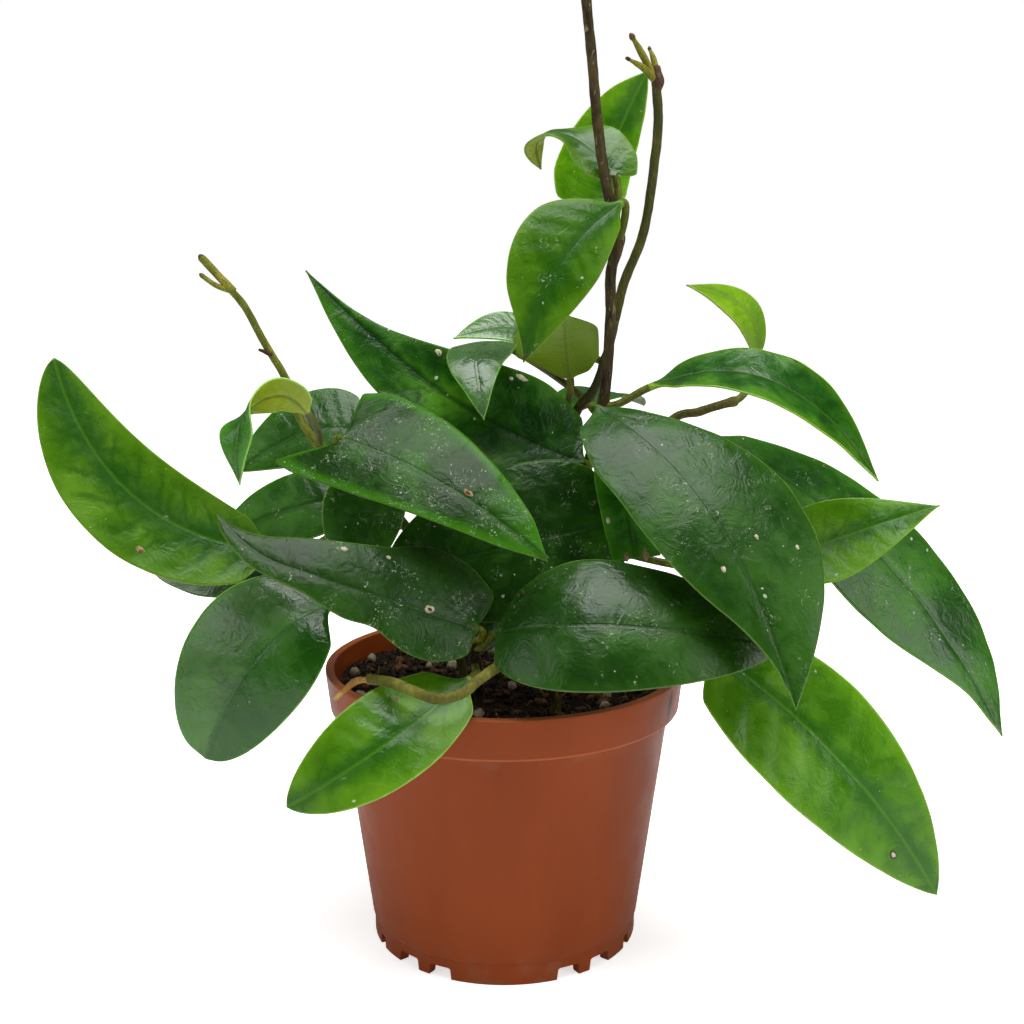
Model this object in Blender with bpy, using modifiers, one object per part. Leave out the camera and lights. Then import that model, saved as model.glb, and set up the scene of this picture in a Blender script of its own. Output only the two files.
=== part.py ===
"""A potted hoya plant: a nursery pot, its soil, the stems and every leaf as a piece of its own."""
import bpy
import bmesh
import math
from mathutils import Vector, noise
from mathutils.geometry import interpolate_bezier

mm = 0.001
gap = 0.3  # clearance between touching pieces

potHeight = 94.0
rimRadius = 60.0
rimRound = 0.5
bandFoot = 80.5
bandFlare = 1.5
lipInner = 57.2
lipTaper = 2.2
bodyTop = 55.2
bodyFoot = 45.6
footRadius = 45.0
footHeight = 4.0
footInner = 41.5
footDraft = 0.8  # degrees
drainHoles = 8
drainReach = 32.0
drainRadius = 3.0
seamHeight = 7.5
seamStep = 0.4
padRadius = 6.0  # small foot under the middle of the floor
wall = 2.0
floorTop = 6.0
floorRound = 2.0
potSteps = 40

soilLevel = 87.5
soilRelief = 1.2
soilRings = 7
soilMargin = 1.3
rootDepth = 14.0
rootClearance = 0.5
gritCount = 18
gritReach = 50.0

bladeThick = 1.5
marginThick = 0.8
stalkRadius = 1.3
bladeRows = 9
stalkRows = 3
bladeColumns = 4

# Nodes along each stem in millimetres, from its root, with radii at the root and at the tip.
# Twigs are buds, forks and scales grown onto a stem: radii along each, then its points.
stems = {
    "stem_tall": {
        "radii": (1.9, 1.5),
        "nodes": [(12, 2, 92), (16, 0, 122), (26, -2, 157), (32, -2, 181), (34, -2, 208), (34, -2, 223),
                  (36, -2, 234), (33, -2, 247), (31, -2, 257), (29, -2, 271), (27, -2, 291),
                  (25, -2, 308), (23, -2, 325), (24, -1, 340), (27, 0, 352)],
    },
    "stem_budding": {
        "radii": (1.6, 1.5),
        "nodes": [(21, 12, 92), (20, 10, 130), (20, 8, 158), (23, 7, 176), (29, 7, 184), (33, 7, 194),
                  (36, 7, 207), (39, 7, 220), (45, 7, 236), (48, 7, 257), (49, 7, 271), (48, 7, 283)],
        "twigs": [((1.2, 2.1, 1.4), [(48.4, 7, 279), (48.6, 7, 283), (48.2, 7, 286.5)]),
                  ((1.2, 1.2, 0.7), [(48, 7, 283), (44, 6, 290), (40, 4, 296)]),
                  ((1.2, 1.1, 0.5), [(48, 7, 283), (43.5, 3, 286.5), (38.5, 1, 289)]),
                  ((1.1, 1.0, 0.5), [(48.6, 7, 283), (47.5, 8, 289), (46, 9, 293)])],
    },
    "stem_shoot": {
        "radii": (1.6, 1.1),
        "nodes": [(-14, -4, 92), (-22, -8, 124), (-40, -12, 154), (-56, -14, 167), (-64, -14, 177),
                  (-68, -13, 189), (-75, -14, 202), (-80, -17, 213), (-84, -20, 219)],
        "twigs": [((1.3, 1.2), [(-83, -19, 218), (-87.5, -20, 223), (-92, -20, 228)]),
                  ((0.9, 0.7), [(-83, -19, 218), (-88, -21, 220), (-92, -22, 223)]),
                  ((0.9, 0.5), [(-73, -14, 198.5), (-76, -17, 200)])],
    },
    "stem_front": {
        "radii": (1.9, 1.6),
        "nodes": [(-8, -24, 92), (-9, -33, 104), (-10, -39, 114), (-10, -40, 121)],
    },
    "stem_cut": {
        "radii": (1.6, 1.6),
        "nodes": [(16, -32, 92), (10, -40, 105), (3, -48, 109.5), (-6, -61, 108), (-12, -67, 105),
                  (-19, -69, 104), (-27, -67, 106), (-33, -63, 107), (-40, -57, 106)],
        "twigs": [((0.8, 1.1, 0.8), [(-39, -58, 106), (-44, -58, 105.5), (-49, -63, 102)])],
    },
    "stem_right": {
        "radii": (1.7, 1.4),
        "nodes": [(30, -8, 92), (34, -8, 122), (42, -4, 150), (54, 3, 174), (65, 6, 178), (76, 8, 181)],
    },
    "stem_rear": {
        "radii": (1.7, 1.4),
        "nodes": [(-2, 24, 92), (-5, 30, 124), (-3, 34, 150), (2, 37, 170)],
    },
}

# Each leaf: its stem and the node it grows from, the points of its midrib in millimetres, left and
# right half widths, and the way its upper side faces from the base to the tip.
leaves = {
    "leaf_far_left": {
        "at": ("stem_shoot", 2), "rib": [(-70, -24, 137), (-113, -32, 156), (-138, -24, 198)],
        "half": (18, 14.5), "faces": [(0.1, -0.8, 0.6), (0.3, -0.9, 0.2)], "cup": 14, "taper": 0.65,
    },
    "leaf_low_left": {
        "at": ("stem_shoot", 1), "rib": [(-56, -16, 117), (-79, -24, 102), (-98, -18, 66)],
        "half": (20, 26), "faces": [(-0.2, -0.8, 0.6), (-0.2, -1.0, 0.1)], "cup": -12, "taper": 0.5,
    },
    "leaf_left_under": {
        "at": ("stem_shoot", 1.6), "rib": [(-60, 2, 134), (-92, 4, 124), (-117, 0, 125)],
        "half": (13, 9), "faces": [(0.1, -0.5, 0.8), (0.1, -0.5, 0.8)], "cup": 10,
    },
    "leaf_front_hooked": {
        "at": ("stem_front", 2),
        "rib": [(-7.5, -49, 119), (-33, -57, 130), (-54, -60, 138), (-71, -57, 144), (-85, -48, 154)],
        "half": (13, 21), "faces": [(-0.1, -0.8, 0.6), (0.2, -0.7, 0.7)], "cup": -14, "neck": 0.04,
        "heart": (3, 9),
        "leftOutline": [(0, 0.3), (0.06, 0.9), (0.14, 1.12), (0.24, 1.0), (0.3, 0.84), (0.38, 0.78),
                        (0.5, 0.5), (0.6, 0.42), (0.8, 0.33), (0.92, 0.2)],
        "rightOutline": [(0, 0.3), (0.04, 0.62), (0.09, 0.94), (0.15, 1.08), (0.22, 1.07), (0.3, 0.82),
                         (0.44, 0.68), (0.56, 0.58), (0.69, 0.46), (0.8, 0.27), (0.9, 0.1)],
        "notch": (0.29, 0.26),
    },
    "leaf_centre": {
        "at": ("stem_shoot", 2.7), "rib": [(-49, -31, 174), (-17, -45, 162), (13, -54, 141)],
        "half": (23, 17), "faces": [(0.1, -0.75, 0.65), (0.2, -0.8, 0.5)], "cup": -12, "neck": 0.03,
        "heart": (8, 21),
        "outline": [(0, 0.8), (0.1, 1.0), (0.3, 0.94), (0.5, 0.76), (0.7, 0.54), (0.85, 0.33)],
    },
    "leaf_upper_left": {
        "at": ("stem_tall", 1.85), "rib": [(26, -8, 163), (-20, -8, 186), (-63, -3, 224)],
        "half": (18, 20), "faces": [(0.1, -0.8, 0.6), (0.4, -0.9, 0.2)], "cup": 10, "neck": 0.05,
        "leftOutline": [(0, 0.5), (0.12, 0.75), (0.3, 0.84), (0.5, 0.86), (0.7, 0.68), (0.85, 0.36),
                        (0.94, 0.12)],
        "rightOutline": [(0, 0.6), (0.1, 0.88), (0.2, 1.06), (0.3, 1.04), (0.45, 0.87), (0.6, 0.58),
                         (0.75, 0.24), (0.85, 0.1), (0.93, 0.05)],
    },
    "leaf_small_front": {
        "at": ("stem_budding", 3.6),
        "rib": [(-0.5, 16, 199), (-4.7, 2, 200.5), (-8.5, -18, 198), (-7.5, -28, 190), (-6, -31, 180)],
        "half": (10.5, 10.5),
        "faces": [(0.0, -0.1, 1.0), (0.0, -0.2, 1.0), (0.0, -0.8, 0.6), (0.0, -1.0, 0.2)], "cup": -10,
        "leftOutline": [(0, 0.3), (0.2, 0.8), (0.4, 0.95), (0.6, 0.75), (0.75, 0.42), (0.9, 0.2)],
        "rightOutline": [(0, 0.3), (0.2, 0.8), (0.4, 1.0), (0.6, 0.8), (0.75, 0.5), (0.9, 0.22)],
    },
    "leaf_behind_small": {
        "at": ("stem_budding", 5), "rib": [(9, 28, 202), (-3, 25, 204), (-17, 17, 201)],
        "half": (8, 8), "faces": [(0.0, -0.6, 0.8), (0.0, -0.6, 0.8)], "cup": 6, "taper": 1.1,
    },
    "leaf_upper_front": {
        "at": ("stem_tall", 6), "rib": [(37, -6, 245), (17, -22, 226), (6, -27, 197)],
        "half": (12.5, 16.5), "faces": [(0.1, -0.9, 0.4), (0.1, -1.0, 0.1)], "cup": -8,
        "leftOutline": [(0, 0.25), (0.1, 0.48), (0.2, 0.7), (0.31, 0.88), (0.44, 0.98), (0.56, 0.94),
                        (0.7, 0.8), (0.8, 0.6), (0.9, 0.36)],
        "rightOutline": [(0, 0.1), (0.1, 0.3), (0.2, 0.7), (0.31, 0.98), (0.44, 1.03), (0.56, 0.94),
                         (0.7, 0.72), (0.8, 0.4), (0.9, 0.16)],
    },
    "leaf_cupped": {
        "at": ("stem_budding", 3), "rib": [(21.5, 3, 189), (20, 6, 199), (20, 14, 209)],
        "half": (10.7, 17.5), "faces": [(0.0, 1.0, -0.1), (0.0, 0.9, 0.5)], "cup": 12, "neck": 0.06,
        "leftOutline": [(0, 0.4), (0.1, 0.7), (0.3, 1.0), (0.6, 1.05), (0.85, 1.05), (0.94, 0.9)],
        "rightOutline": [(0, 0.1), (0.1, 0.25), (0.2, 0.4), (0.31, 0.6), (0.44, 0.95), (0.6, 1.0),
                         (0.75, 0.95), (0.92, 0.6)],
    },
    "leaf_curled": {
        "at": ("stem_tall", 6),
        "rib": [(35, 1, 253), (30, 4, 260), (23, 7, 265), (15, 9, 267), (10, 13, 264), (12, 14, 256)],
        "half": (9, 12),
        "faces": [(0.2, -0.9, 0.4), (0.1, -0.8, 0.6), (-0.2, -0.3, 1.0), (-0.8, 0.4, 0.5),
                  (-0.7, 0.7, 0.1)],
        "cup": 10, "neck": 0.05, "heart": (1, 5),
        "leftOutline": [(0, 0.4), (0.12, 0.9), (0.3, 1.0), (0.45, 0.7), (0.65, 0.6), (0.85, 0.6),
                        (0.94, 0.3)],
        "rightOutline": [(0, 0.4), (0.12, 0.85), (0.3, 1.0), (0.42, 0.8), (0.55, 0.4), (0.7, 0.45),
                         (0.85, 0.45), (0.94, 0.2)],
    },
    "leaf_upper_rear": {
        "at": ("stem_tall", 5.6), "rib": [(33, 16, 243), (35.5, 22, 262), (46.5, 17, 287)],
        "half": (17.5, 8), "faces": [(0.0, -0.9, 0.3), (0.0, -1.0, 0.2)], "cup": 8,
        "leftOutline": [(0, 0.5), (0.12, 0.9), (0.3, 1.0), (0.5, 0.9), (0.7, 0.7), (0.85, 0.46),
                        (0.94, 0.2)],
        "rightOutline": [(0, 0.5), (0.12, 0.9), (0.3, 1.0), (0.6, 0.95), (0.8, 0.7), (0.92, 0.36)],
    },
    "leaf_small_right": {
        "at": ("stem_right", 5), "rib": [(84, 16, 194), (79.5, 12, 210), (59, 5, 219)],
        "half": (9, 7), "faces": [(0.5, -0.8, 0.4), (0.3, -0.7, 0.7)], "cup": 8,
        "outline": [(0, 0.15), (0.1, 0.35), (0.2, 0.6), (0.31, 0.8), (0.44, 1.0), (0.56, 1.0),
                    (0.7, 0.82), (0.8, 0.56), (0.9, 0.28)],
    },
    "leaf_arching": {
        "at": ("stem_tall", 3), "rib": [(46, -7, 187), (84, -16, 190), (116, -26, 160)],
        "half": (14, 13), "faces": [(0.0, -0.3, 0.9), (0.6, -0.6, 0.4)], "cup": 12,
        "leftOutline": [(0, 0.2), (0.1, 0.5), (0.2, 0.76), (0.31, 0.94), (0.44, 1.02), (0.56, 1.06),
                        (0.7, 0.94), (0.8, 0.66), (0.9, 0.34)],
        "rightOutline": [(0, 0.2), (0.1, 0.55), (0.2, 0.82), (0.31, 0.97), (0.44, 1.0), (0.56, 0.94),
                         (0.7, 0.78), (0.8, 0.56), (0.9, 0.3)],
    },
    "leaf_big_front": {
        "at": ("stem_right", 2.5), "rib": [(29, -18, 182), (61, -51, 155), (83, -76, 103)],
        "half": (29, 21), "faces": [(0.2, -0.7, 0.7), (0.2, -1.0, 0.2)], "cup": -14, "neck": 0.04,
        "leftOutline": [(0, 0.05), (0.1, 0.28), (0.3, 0.7), (0.5, 1.0), (0.68, 0.93), (0.8, 0.68),
                        (0.9, 0.36)],
        "rightOutline": [(0, 0.42), (0.1, 0.76), (0.2, 0.95), (0.44, 1.0), (0.57, 0.92), (0.7, 0.7),
                         (0.8, 0.36), (0.9, 0.1)],
    },
    "leaf_drooping": {
        "at": ("stem_right", 3), "rib": [(64, 12, 170), (122, 5, 133), (166, -10, 71)],
        "half": (21, 20), "faces": [(0.3, -0.6, 0.7), (0.5, -0.8, 0.3)], "cup": -6,
        "leftOutline": [(0, 0.05), (0.1, 0.36), (0.2, 0.57), (0.31, 0.8), (0.44, 0.98), (0.56, 1.05),
                        (0.7, 1.0), (0.8, 0.86), (0.9, 0.52)],
        "rightOutline": [(0, 0.05), (0.1, 0.5), (0.2, 0.78), (0.31, 0.95), (0.44, 1.08), (0.56, 1.15),
                         (0.7, 0.98), (0.8, 0.6), (0.9, 0.2)],
    },
    "leaf_pointing_right": {
        "at": ("stem_right", 1.4), "rib": [(88, -14, 132), (114, -15, 142), (138, -19, 151)],
        "half": (14, 14), "faces": [(0.0, -0.8, 0.6), (0.0, -0.7, 0.7)], "cup": 10, "taper": 1.2,
    },
    "leaf_low_right": {
        "at": ("stem_right", 1), "rib": [(62, -30, 109), (102, -48, 78), (137, -42, 30)],
        "half": (20, 22), "faces": [(0.2, -0.8, 0.6), (0.2, -1.0, 0.1)], "cup": 8,
    },
    "leaf_front_oval": {
        "at": ("stem_front", 1.6), "rib": [(-2.5, -48, 117.5), (32, -63, 124), (82, -52, 115)],
        "half": (23.5, 20), "faces": [(0.0, -0.75, 0.65), (0.1, -0.8, 0.6)], "cup": -18, "neck": 0.04,
        "round": 0.4, "taper": 0.6,
    },
    "leaf_over_rim": {
        "at": ("stem_front", 1), "rib": [(-10, -50, 104), (-36, -70, 89), (-63, -72, 72)],
        "half": (13.2, 15.8), "faces": [(-0.1, -0.7, 0.7), (0.0, -1.0, 0.3)], "cup": 6, "round": 0.5,
        "taper": 0.7,
    },
    "leaf_dark_centre": {
        "at": ("stem_right", 1.5), "rib": [(40, -19.5, 147), (5, -28.5, 140.5), (-37, -25.5, 130)],
        "half": (24, 25.8), "faces": [(0.0, -0.9, 0.3), (0.0, -0.9, 0.4)], "cup": -8, "round": 0.4,
        "taper": 0.5,
    },
    "leaf_torn": {
        "at": ("stem_right", 2.2), "rib": [(35, -22, 172), (38, -29, 155), (41, -32, 137)],
        "half": (9, 9), "faces": [(-0.2, -1.0, 0.3), (-0.2, -1.0, 0.2)], "cup": 12, "neck": 0.06,
        "outline": [(0, 0.8), (0.3, 1.0), (0.7, 0.95), (0.96, 0.85)],
    },
    "leaf_left_middle": {
        "at": ("stem_shoot", 2.3), "rib": [(-50, -6, 150), (-68, -7, 148), (-94, -4, 137)],
        "half": (12, 13), "faces": [(0.0, -0.8, 0.6), (0.0, -0.8, 0.6)], "cup": -6, "taper": 0.6,
    },
    "leaf_left_inner": {
        "at": ("stem_shoot", 2), "rib": [(-37, -24, 160), (-41, -28, 147), (-48, -30, 124)],
        "half": (9, 17), "faces": [(0.0, -1.0, 0.3), (0.0, -1.0, 0.2)], "cup": -6,
    },
    "leaf_dark_low": {
        "at": ("stem_tall", 0.6), "rib": [(6, -12, 114), (-14, -17, 125), (-38, -22, 130)],
        "half": (22, 18), "faces": [(0.0, -0.8, 0.6), (0.0, -0.8, 0.6)], "cup": 6,
    },
    "leaf_left_rear": {
        "at": ("stem_shoot", 3), "rib": [(-48, 6, 171), (-67, 9, 170), (-88, 5, 158)],
        "half": (13.5, 16), "faces": [(0.0, -0.8, 0.6), (0.0, -0.8, 0.6)], "cup": -6, "round": 0.4,
        "taper": 0.8,
    },
    "leaf_twisted": {
        "at": ("stem_shoot", 3.3),
        "rib": [(-61, -22, 181), (-68, -25, 187), (-77, -30, 184), (-81, -33, 174), (-81, -31, 160)],
        "half": (7, 7),
        "faces": [(0.1, 0.9, 0.3), (0.0, 0.9, 0.4), (-0.8, 0.1, 0.6), (-0.5, -0.9, 0.3), (-0.4, -0.9, 0.2)],
        "cup": -8, "neck": 0.06,
        "leftOutline": [(0, 0.4), (0.12, 0.8), (0.3, 0.95), (0.5, 1.0), (0.7, 0.85), (0.85, 0.5),
                        (0.94, 0.25)],
        "rightOutline": [(0, 0.4), (0.12, 0.8), (0.3, 0.95), (0.5, 1.1), (0.62, 1.3), (0.7, 1.25),
                         (0.8, 0.85), (0.9, 0.36)],
    },
    "leaf_rear_top": {
        "at": ("stem_rear", 3), "rib": [(16, 38, 172), (34, 48, 179), (52, 70, 172)],
        "half": (12, 12), "faces": [(0.0, -0.2, 1.0), (0.2, 0.2, 1.0)], "cup": 8,
    },
    "leaf_rear_left": {
        "at": ("stem_rear", 2), "rib": [(-16, 40, 150), (-42, 58, 152), (-66, 74, 134)],
        "half": (15, 15), "faces": [(-0.2, 0.3, 0.9), (-0.4, 0.7, 0.5)], "cup": 8,
    },
    "leaf_rear_right": {
        "at": ("stem_rear", 1), "rib": [(10, 40, 128), (34, 66, 134), (52, 92, 112)],
        "half": (16, 16), "faces": [(0.2, 0.4, 0.9), (0.4, 0.8, 0.4)], "cup": -8,
    },
    "leaf_rear_low": {
        "at": ("stem_rear", 1), "rib": [(-12, 42, 122), (-28, 72, 118), (-40, 92, 86)],
        "half": (14, 14), "faces": [(-0.2, 0.5, 0.8), (-0.3, 0.9, 0.2)], "cup": 10,
    },
    "leaf_rear_middle": {
        "at": ("stem_rear", 2), "rib": [(2, 46, 152), (6, 72, 158), (8, 102, 140)],
        "half": (15, 15), "faces": [(0.0, 0.2, 1.0), (0.0, 0.8, 0.5)], "cup": 8,
    },
}


def clearScene():
    for item in list(bpy.data.objects):
        bpy.data.objects.remove(item)


def newCollection(name):
    collection = bpy.data.collections.new(name)
    bpy.context.scene.collection.children.link(collection)
    return collection


def principled(name, colour, roughness):
    material = bpy.data.materials.new(name)
    material.use_nodes = True
    shader = material.node_tree.nodes["Principled BSDF"]
    shader.inputs["Base Color"].default_value = (*colour, 1.0)
    shader.inputs["Roughness"].default_value = roughness
    shader.inputs["Metallic"].default_value = 0.0
    return material


def addObject(name, mesh, collection, material=None):
    item = bpy.data.objects.new(name, mesh)
    collection.objects.link(item)
    if material:
        mesh.materials.append(material)
    return item


def meshFrom(bm, name):
    mesh = bpy.data.meshes.new(name)
    bm.to_mesh(mesh)
    bm.free()
    return mesh


def settle(item):
    """Applies an object's modifiers, or makes a curve a closed mesh."""
    depsgraph = bpy.context.evaluated_depsgraph_get()
    mesh = bpy.data.meshes.new_from_object(item.evaluated_get(depsgraph))
    bm = bmesh.new()
    bm.from_mesh(mesh)
    bmesh.ops.remove_doubles(bm, verts=bm.verts, dist=0.00001)
    bm.to_mesh(mesh)
    bm.free()
    name = item.name
    collection = item.users_collection[0]
    bpy.data.objects.remove(item)
    solid = bpy.data.objects.new(name, mesh)
    collection.objects.link(solid)
    mesh.shade_smooth()
    mesh.set_sharp_from_angle(angle=math.radians(35))
    return solid


def fuse(item, pieces):
    """Joins every object of a collection onto an item, then removes them."""
    join = item.modifiers.new("join", "BOOLEAN")
    join.operation = "UNION"
    join.operand_type = "COLLECTION"
    join.collection = pieces
    depsgraph = bpy.context.evaluated_depsgraph_get()
    joined = bpy.data.meshes.new_from_object(item.evaluated_get(depsgraph))
    item.modifiers.clear()
    item.data = joined
    for piece in list(pieces.objects):
        bpy.data.objects.remove(piece)
    bpy.data.collections.remove(pieces)


def turnedShape(name, profile, collection, material):
    """A profile of (radius, height) in millimetres, from axis to axis, turned about Z."""
    bm = bmesh.new()
    verts = [bm.verts.new((radius * mm, 0, height * mm)) for radius, height in profile]
    for first, second in zip(verts, verts[1:]):
        bm.edges.new((first, second))
    item = addObject(name, meshFrom(bm, name), collection, material)
    screw = item.modifiers.new("turn", "SCREW")
    screw.steps = potSteps
    screw.render_steps = potSteps
    screw.use_merge_vertices = True
    screw.merge_threshold = 0.00001
    return item


def makePot(parts, cutters, material):
    innerFoot = innerWall(floorTop + floorRound)
    profile = [
        (0, floorTop), (innerFoot - floorRound, floorTop), (innerFoot, floorTop + floorRound),
        (innerWall(bandFoot), bandFoot), (lipInner, potHeight), (rimRadius - rimRound, potHeight),
        (rimRadius, potHeight - rimRound), (rimRadius - bandFlare, bandFoot),
        (bodyTop + rimRound, bandFoot), (bodyTop, bandFoot - 1.0), (bodyFoot, seamHeight),
        (footRadius, seamHeight - seamStep), (footRadius, 0), (footInner, 0), (footInner, footHeight),
        (padRadius, footHeight), (padRadius, 0), (0, 0),
    ]
    pot = turnedShape("pot", profile, parts, material)
    # Wide feet stand across both axes, a stud and a short foot between them.
    for start, end in ((22, 33), (38, 50), (62, 68)):
        for turn in (0, 180):
            cutWedge(pot, cutters, turn + start, turn + end)
            cutWedge(pot, cutters, turn - end, turn - start)
    for turn in range(drainHoles):
        angle = math.tau * (turn + 0.5) / drainHoles
        centre = (drainReach * math.cos(angle), drainReach * math.sin(angle))
        cutRound(pot, cutters, centre, drainRadius, footHeight - 1, floorTop + 1)
    return settle(pot)


def cutWedge(target, cutters, start, end):
    """A notch between two feet; angles in degrees from the front of the pot."""
    bm = bmesh.new()
    bmesh.ops.create_cube(bm, size=1.0)
    for vert in bm.verts:
        degrees = start if vert.co.x < 0 else end
        # The notch narrows upwards, as moulded feet do.
        if vert.co.z > 0:
            degrees += footDraft if vert.co.x < 0 else -footDraft
        radius = footRadius + 3.0 if vert.co.y < 0 else footInner - 2.0
        height = -1.0 if vert.co.z < 0 else footHeight
        angle = math.radians(degrees)
        vert.co = Vector((radius * math.sin(angle), -radius * math.cos(angle), height)) * mm
    addCutter(target, cutters, meshFrom(bm, "notch"))


def cutRound(target, cutters, centre, radius, bottom, top):
    bm = bmesh.new()
    bmesh.ops.create_cone(bm, cap_ends=True, segments=12, radius1=radius * mm, radius2=radius * mm,
                          depth=(top - bottom) * mm)
    bmesh.ops.translate(bm, verts=bm.verts, vec=Vector((centre[0], centre[1], (top + bottom) / 2)) * mm)
    addCutter(target, cutters, meshFrom(bm, "bore"))


def addCutter(target, cutters, mesh):
    cutter = addObject("cutter", mesh, cutters)
    cutter.hide_render = True
    cutter.display_type = "WIRE"
    cut = target.modifiers.new("cut", "BOOLEAN")
    cut.operation = "DIFFERENCE"
    cut.object = cutter


def soilHeight(x, y):
    """Lumpy top of the potting mix, in millimetres."""
    fine = noise.noise(Vector((x * 0.16, y * 0.16, 3.0)))
    broad = noise.noise(Vector((x * 0.05, y * 0.05, 9.0)))
    return soilLevel + soilRelief * (fine + broad)


def innerWall(height):
    """Radius of the pot's inside at a height, in millimetres."""
    upper = lipInner - lipTaper * (potHeight - height) / (potHeight - bandFoot)
    if height > bandFoot:
        return upper
    foot = floorTop + floorRound
    share = (height - foot) / (bandFoot - foot)
    return (bodyFoot - wall) * (1 - share) + (lipInner - lipTaper) * share


def makeSoil(parts, cutters, material):
    edge = innerWall(soilLevel) - soilMargin
    profile = [(edge * index / soilRings, soilLevel) for index in range(soilRings + 1)]
    foot = innerWall(floorTop + floorRound) - gap - 0.1
    profile += [(innerWall(bandFoot) - gap, bandFoot), (foot, floorTop + floorRound + 0.4),
                (foot - 2.4, floorTop + gap), (0, floorTop + gap)]
    soil = settle(turnedShape("soil", profile, parts, material))
    for vert in soil.data.vertices:
        if vert.co.z > (soilLevel - 1) * mm:
            vert.co.z = soilHeight(vert.co.x / mm, vert.co.y / mm) * mm
    addGrit(soil)
    for stem in stems.values():
        root = stem["nodes"][0]
        radius = stem["radii"][0] + rootClearance
        cutRound(soil, cutters, root[:2], radius, soilLevel - rootDepth, soilLevel + 6)
    return settle(soil)


def addGrit(soil):
    """Rounded lumps of bark and grit, sunk half into the mix and joined to it."""
    lumps = newCollection("grit")
    roots = [Vector(stem["nodes"][0][:2]) for stem in stems.values()]
    placed = []
    step = 0
    while len(placed) < gritCount:
        step += 1
        angle = step * 2.4
        reach = gritReach * math.sqrt((step % 37 + 1) / 38)
        spot = Vector((reach * math.cos(angle), reach * math.sin(angle)))
        radius = 1.6 + 1.1 * ((step * 7) % 5) / 4
        if min((spot - root).length for root in roots) < radius + 4:
            continue
        if any((spot - other).length < radius + size + 0.6 for other, size in placed):
            continue
        placed.append((spot, radius))
        bm = bmesh.new()
        bmesh.ops.create_icosphere(bm, subdivisions=1, radius=radius * mm)
        height = soilHeight(spot.x, spot.y)
        bmesh.ops.translate(bm, verts=bm.verts, vec=Vector((spot.x, spot.y, height)) * mm)
        addObject("lump", meshFrom(bm, "lump"), lumps)
    fuse(soil, lumps)


def alongPoints(points, place):
    """A spot on the smooth curve through the points; place counts points from the first."""
    index = max(min(int(place), len(points) - 2), 0)
    t = place - index
    start = Vector(points[index])
    end = Vector(points[index + 1])
    before = Vector(points[index - 1]) if index else start * 2 - end
    after = Vector(points[index + 2]) if index + 2 < len(points) else end * 2 - start
    bend = 2 * before - 5 * start + 4 * end - after
    twist = 3 * start - before - 3 * end + after
    return 0.5 * (2 * start + (end - before) * t + bend * t * t + twist * t * t * t)


def smoothRoute(points, perSpan=2):
    steps = (len(points) - 1) * perSpan
    return [alongPoints(points, step / perSpan) for step in range(steps + 1)]


def stemRadius(stem, share):
    root, tip = stem["radii"]
    return root + (tip - root) * share


def makeTube(name, route, radii, collection, material):
    curve = bpy.data.curves.new(name, "CURVE")
    curve.dimensions = "3D"
    curve.bevel_depth = mm
    curve.bevel_resolution = 1
    curve.use_fill_caps = True
    spline = curve.splines.new("POLY")
    spline.points.add(len(route) - 1)
    for point, spot, radius in zip(spline.points, route, radii):
        point.co = (*(spot * mm), 1.0)
        point.radius = radius
    item = bpy.data.objects.new(name, curve)
    collection.objects.link(item)
    curve.materials.append(material)
    return settle(item)


def makeStem(name, stem, parts, material):
    x, y, _ = stem["nodes"][0]
    buried = [(x, y, soilLevel - rootDepth + gap), (x, y, soilLevel - 2)]
    route = smoothRoute(buried + stem["nodes"])
    radii = [stemRadius(stem, index / (len(route) - 1)) for index in range(len(route))]
    item = makeTube(name, route, radii, parts, material)
    if "twigs" in stem:
        twigs = newCollection("twigs")
        for sizes, points in stem["twigs"]:
            spots = smoothRoute(points)
            shares = [index * (len(sizes) - 1) / (len(spots) - 1) for index in range(len(spots))]
            widths = [sizes[int(share)] + (sizes[min(int(share) + 1, len(sizes) - 1)] - sizes[int(share)])
                      * (share % 1) for share in shares]
            makeTube("twig", spots, widths, twigs, material)
        fuse(item, twigs)
    return item


def widthAt(leaf, share, right):
    """Share of the half width on one side, for a share of the way from the base to the tip."""
    points = leaf.get("rightOutline" if right else "leftOutline", leaf.get("outline"))
    if points:
        last = points[-1]
        points = (*points, (1.0, 0.0 if last[0] < 0.95 else last[1]))
        for (start, low), (end, high) in zip(points, points[1:]):
            if share <= end:
                return low + (high - low) * (share - start) / (end - start)
    rounding = leaf.get("round", 0.5)
    taper = leaf.get("taper", 0.8)
    widest = rounding / (rounding + taper)
    peak = widest ** rounding * (1 - widest) ** taper
    return share ** rounding * (1 - share) ** taper / peak


def ribPoint(points, share):
    """A spot on the midrib: parabolas through neighbouring points, blended."""
    place = share * (len(points) - 1)
    index = min(int(place), len(points) - 2)
    t = place - index
    arcs = []
    for first in (index - 1, index):
        if 0 <= first <= len(points) - 3:
            start, middle, end = (Vector(point) for point in points[first:first + 3])
            u = place - first
            arcs.append(start * (u - 1) * (u - 2) / 2 - middle * u * (u - 2) + end * u * (u - 1) / 2)
    return arcs[0].lerp(arcs[-1], t)


def faceAt(leaf, share):
    faces = leaf["faces"]
    place = max(share, 0) * (len(faces) - 1)
    index = min(int(place), len(faces) - 2)
    return Vector(faces[index]).lerp(Vector(faces[index + 1]), place - index)


def stalkStart(leaf):
    """Where the leaf stalk meets its stem, one clearance off the bark, and the way it leaves."""
    name, place = leaf["at"]
    stem = stems[name]
    last = len(stem["nodes"]) - 1
    spot = alongPoints(stem["nodes"], place)
    axis = (spot - alongPoints(stem["nodes"], place - 0.1)).normalized()
    if place == last:
        return spot + axis * (gap + 0.1), axis
    towards = Vector(leaf["rib"][0]) - spot
    towards = (towards - axis * towards.dot(axis)).normalized()
    return spot + towards * (stemRadius(stem, place / last) + gap + 0.2), towards


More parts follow.
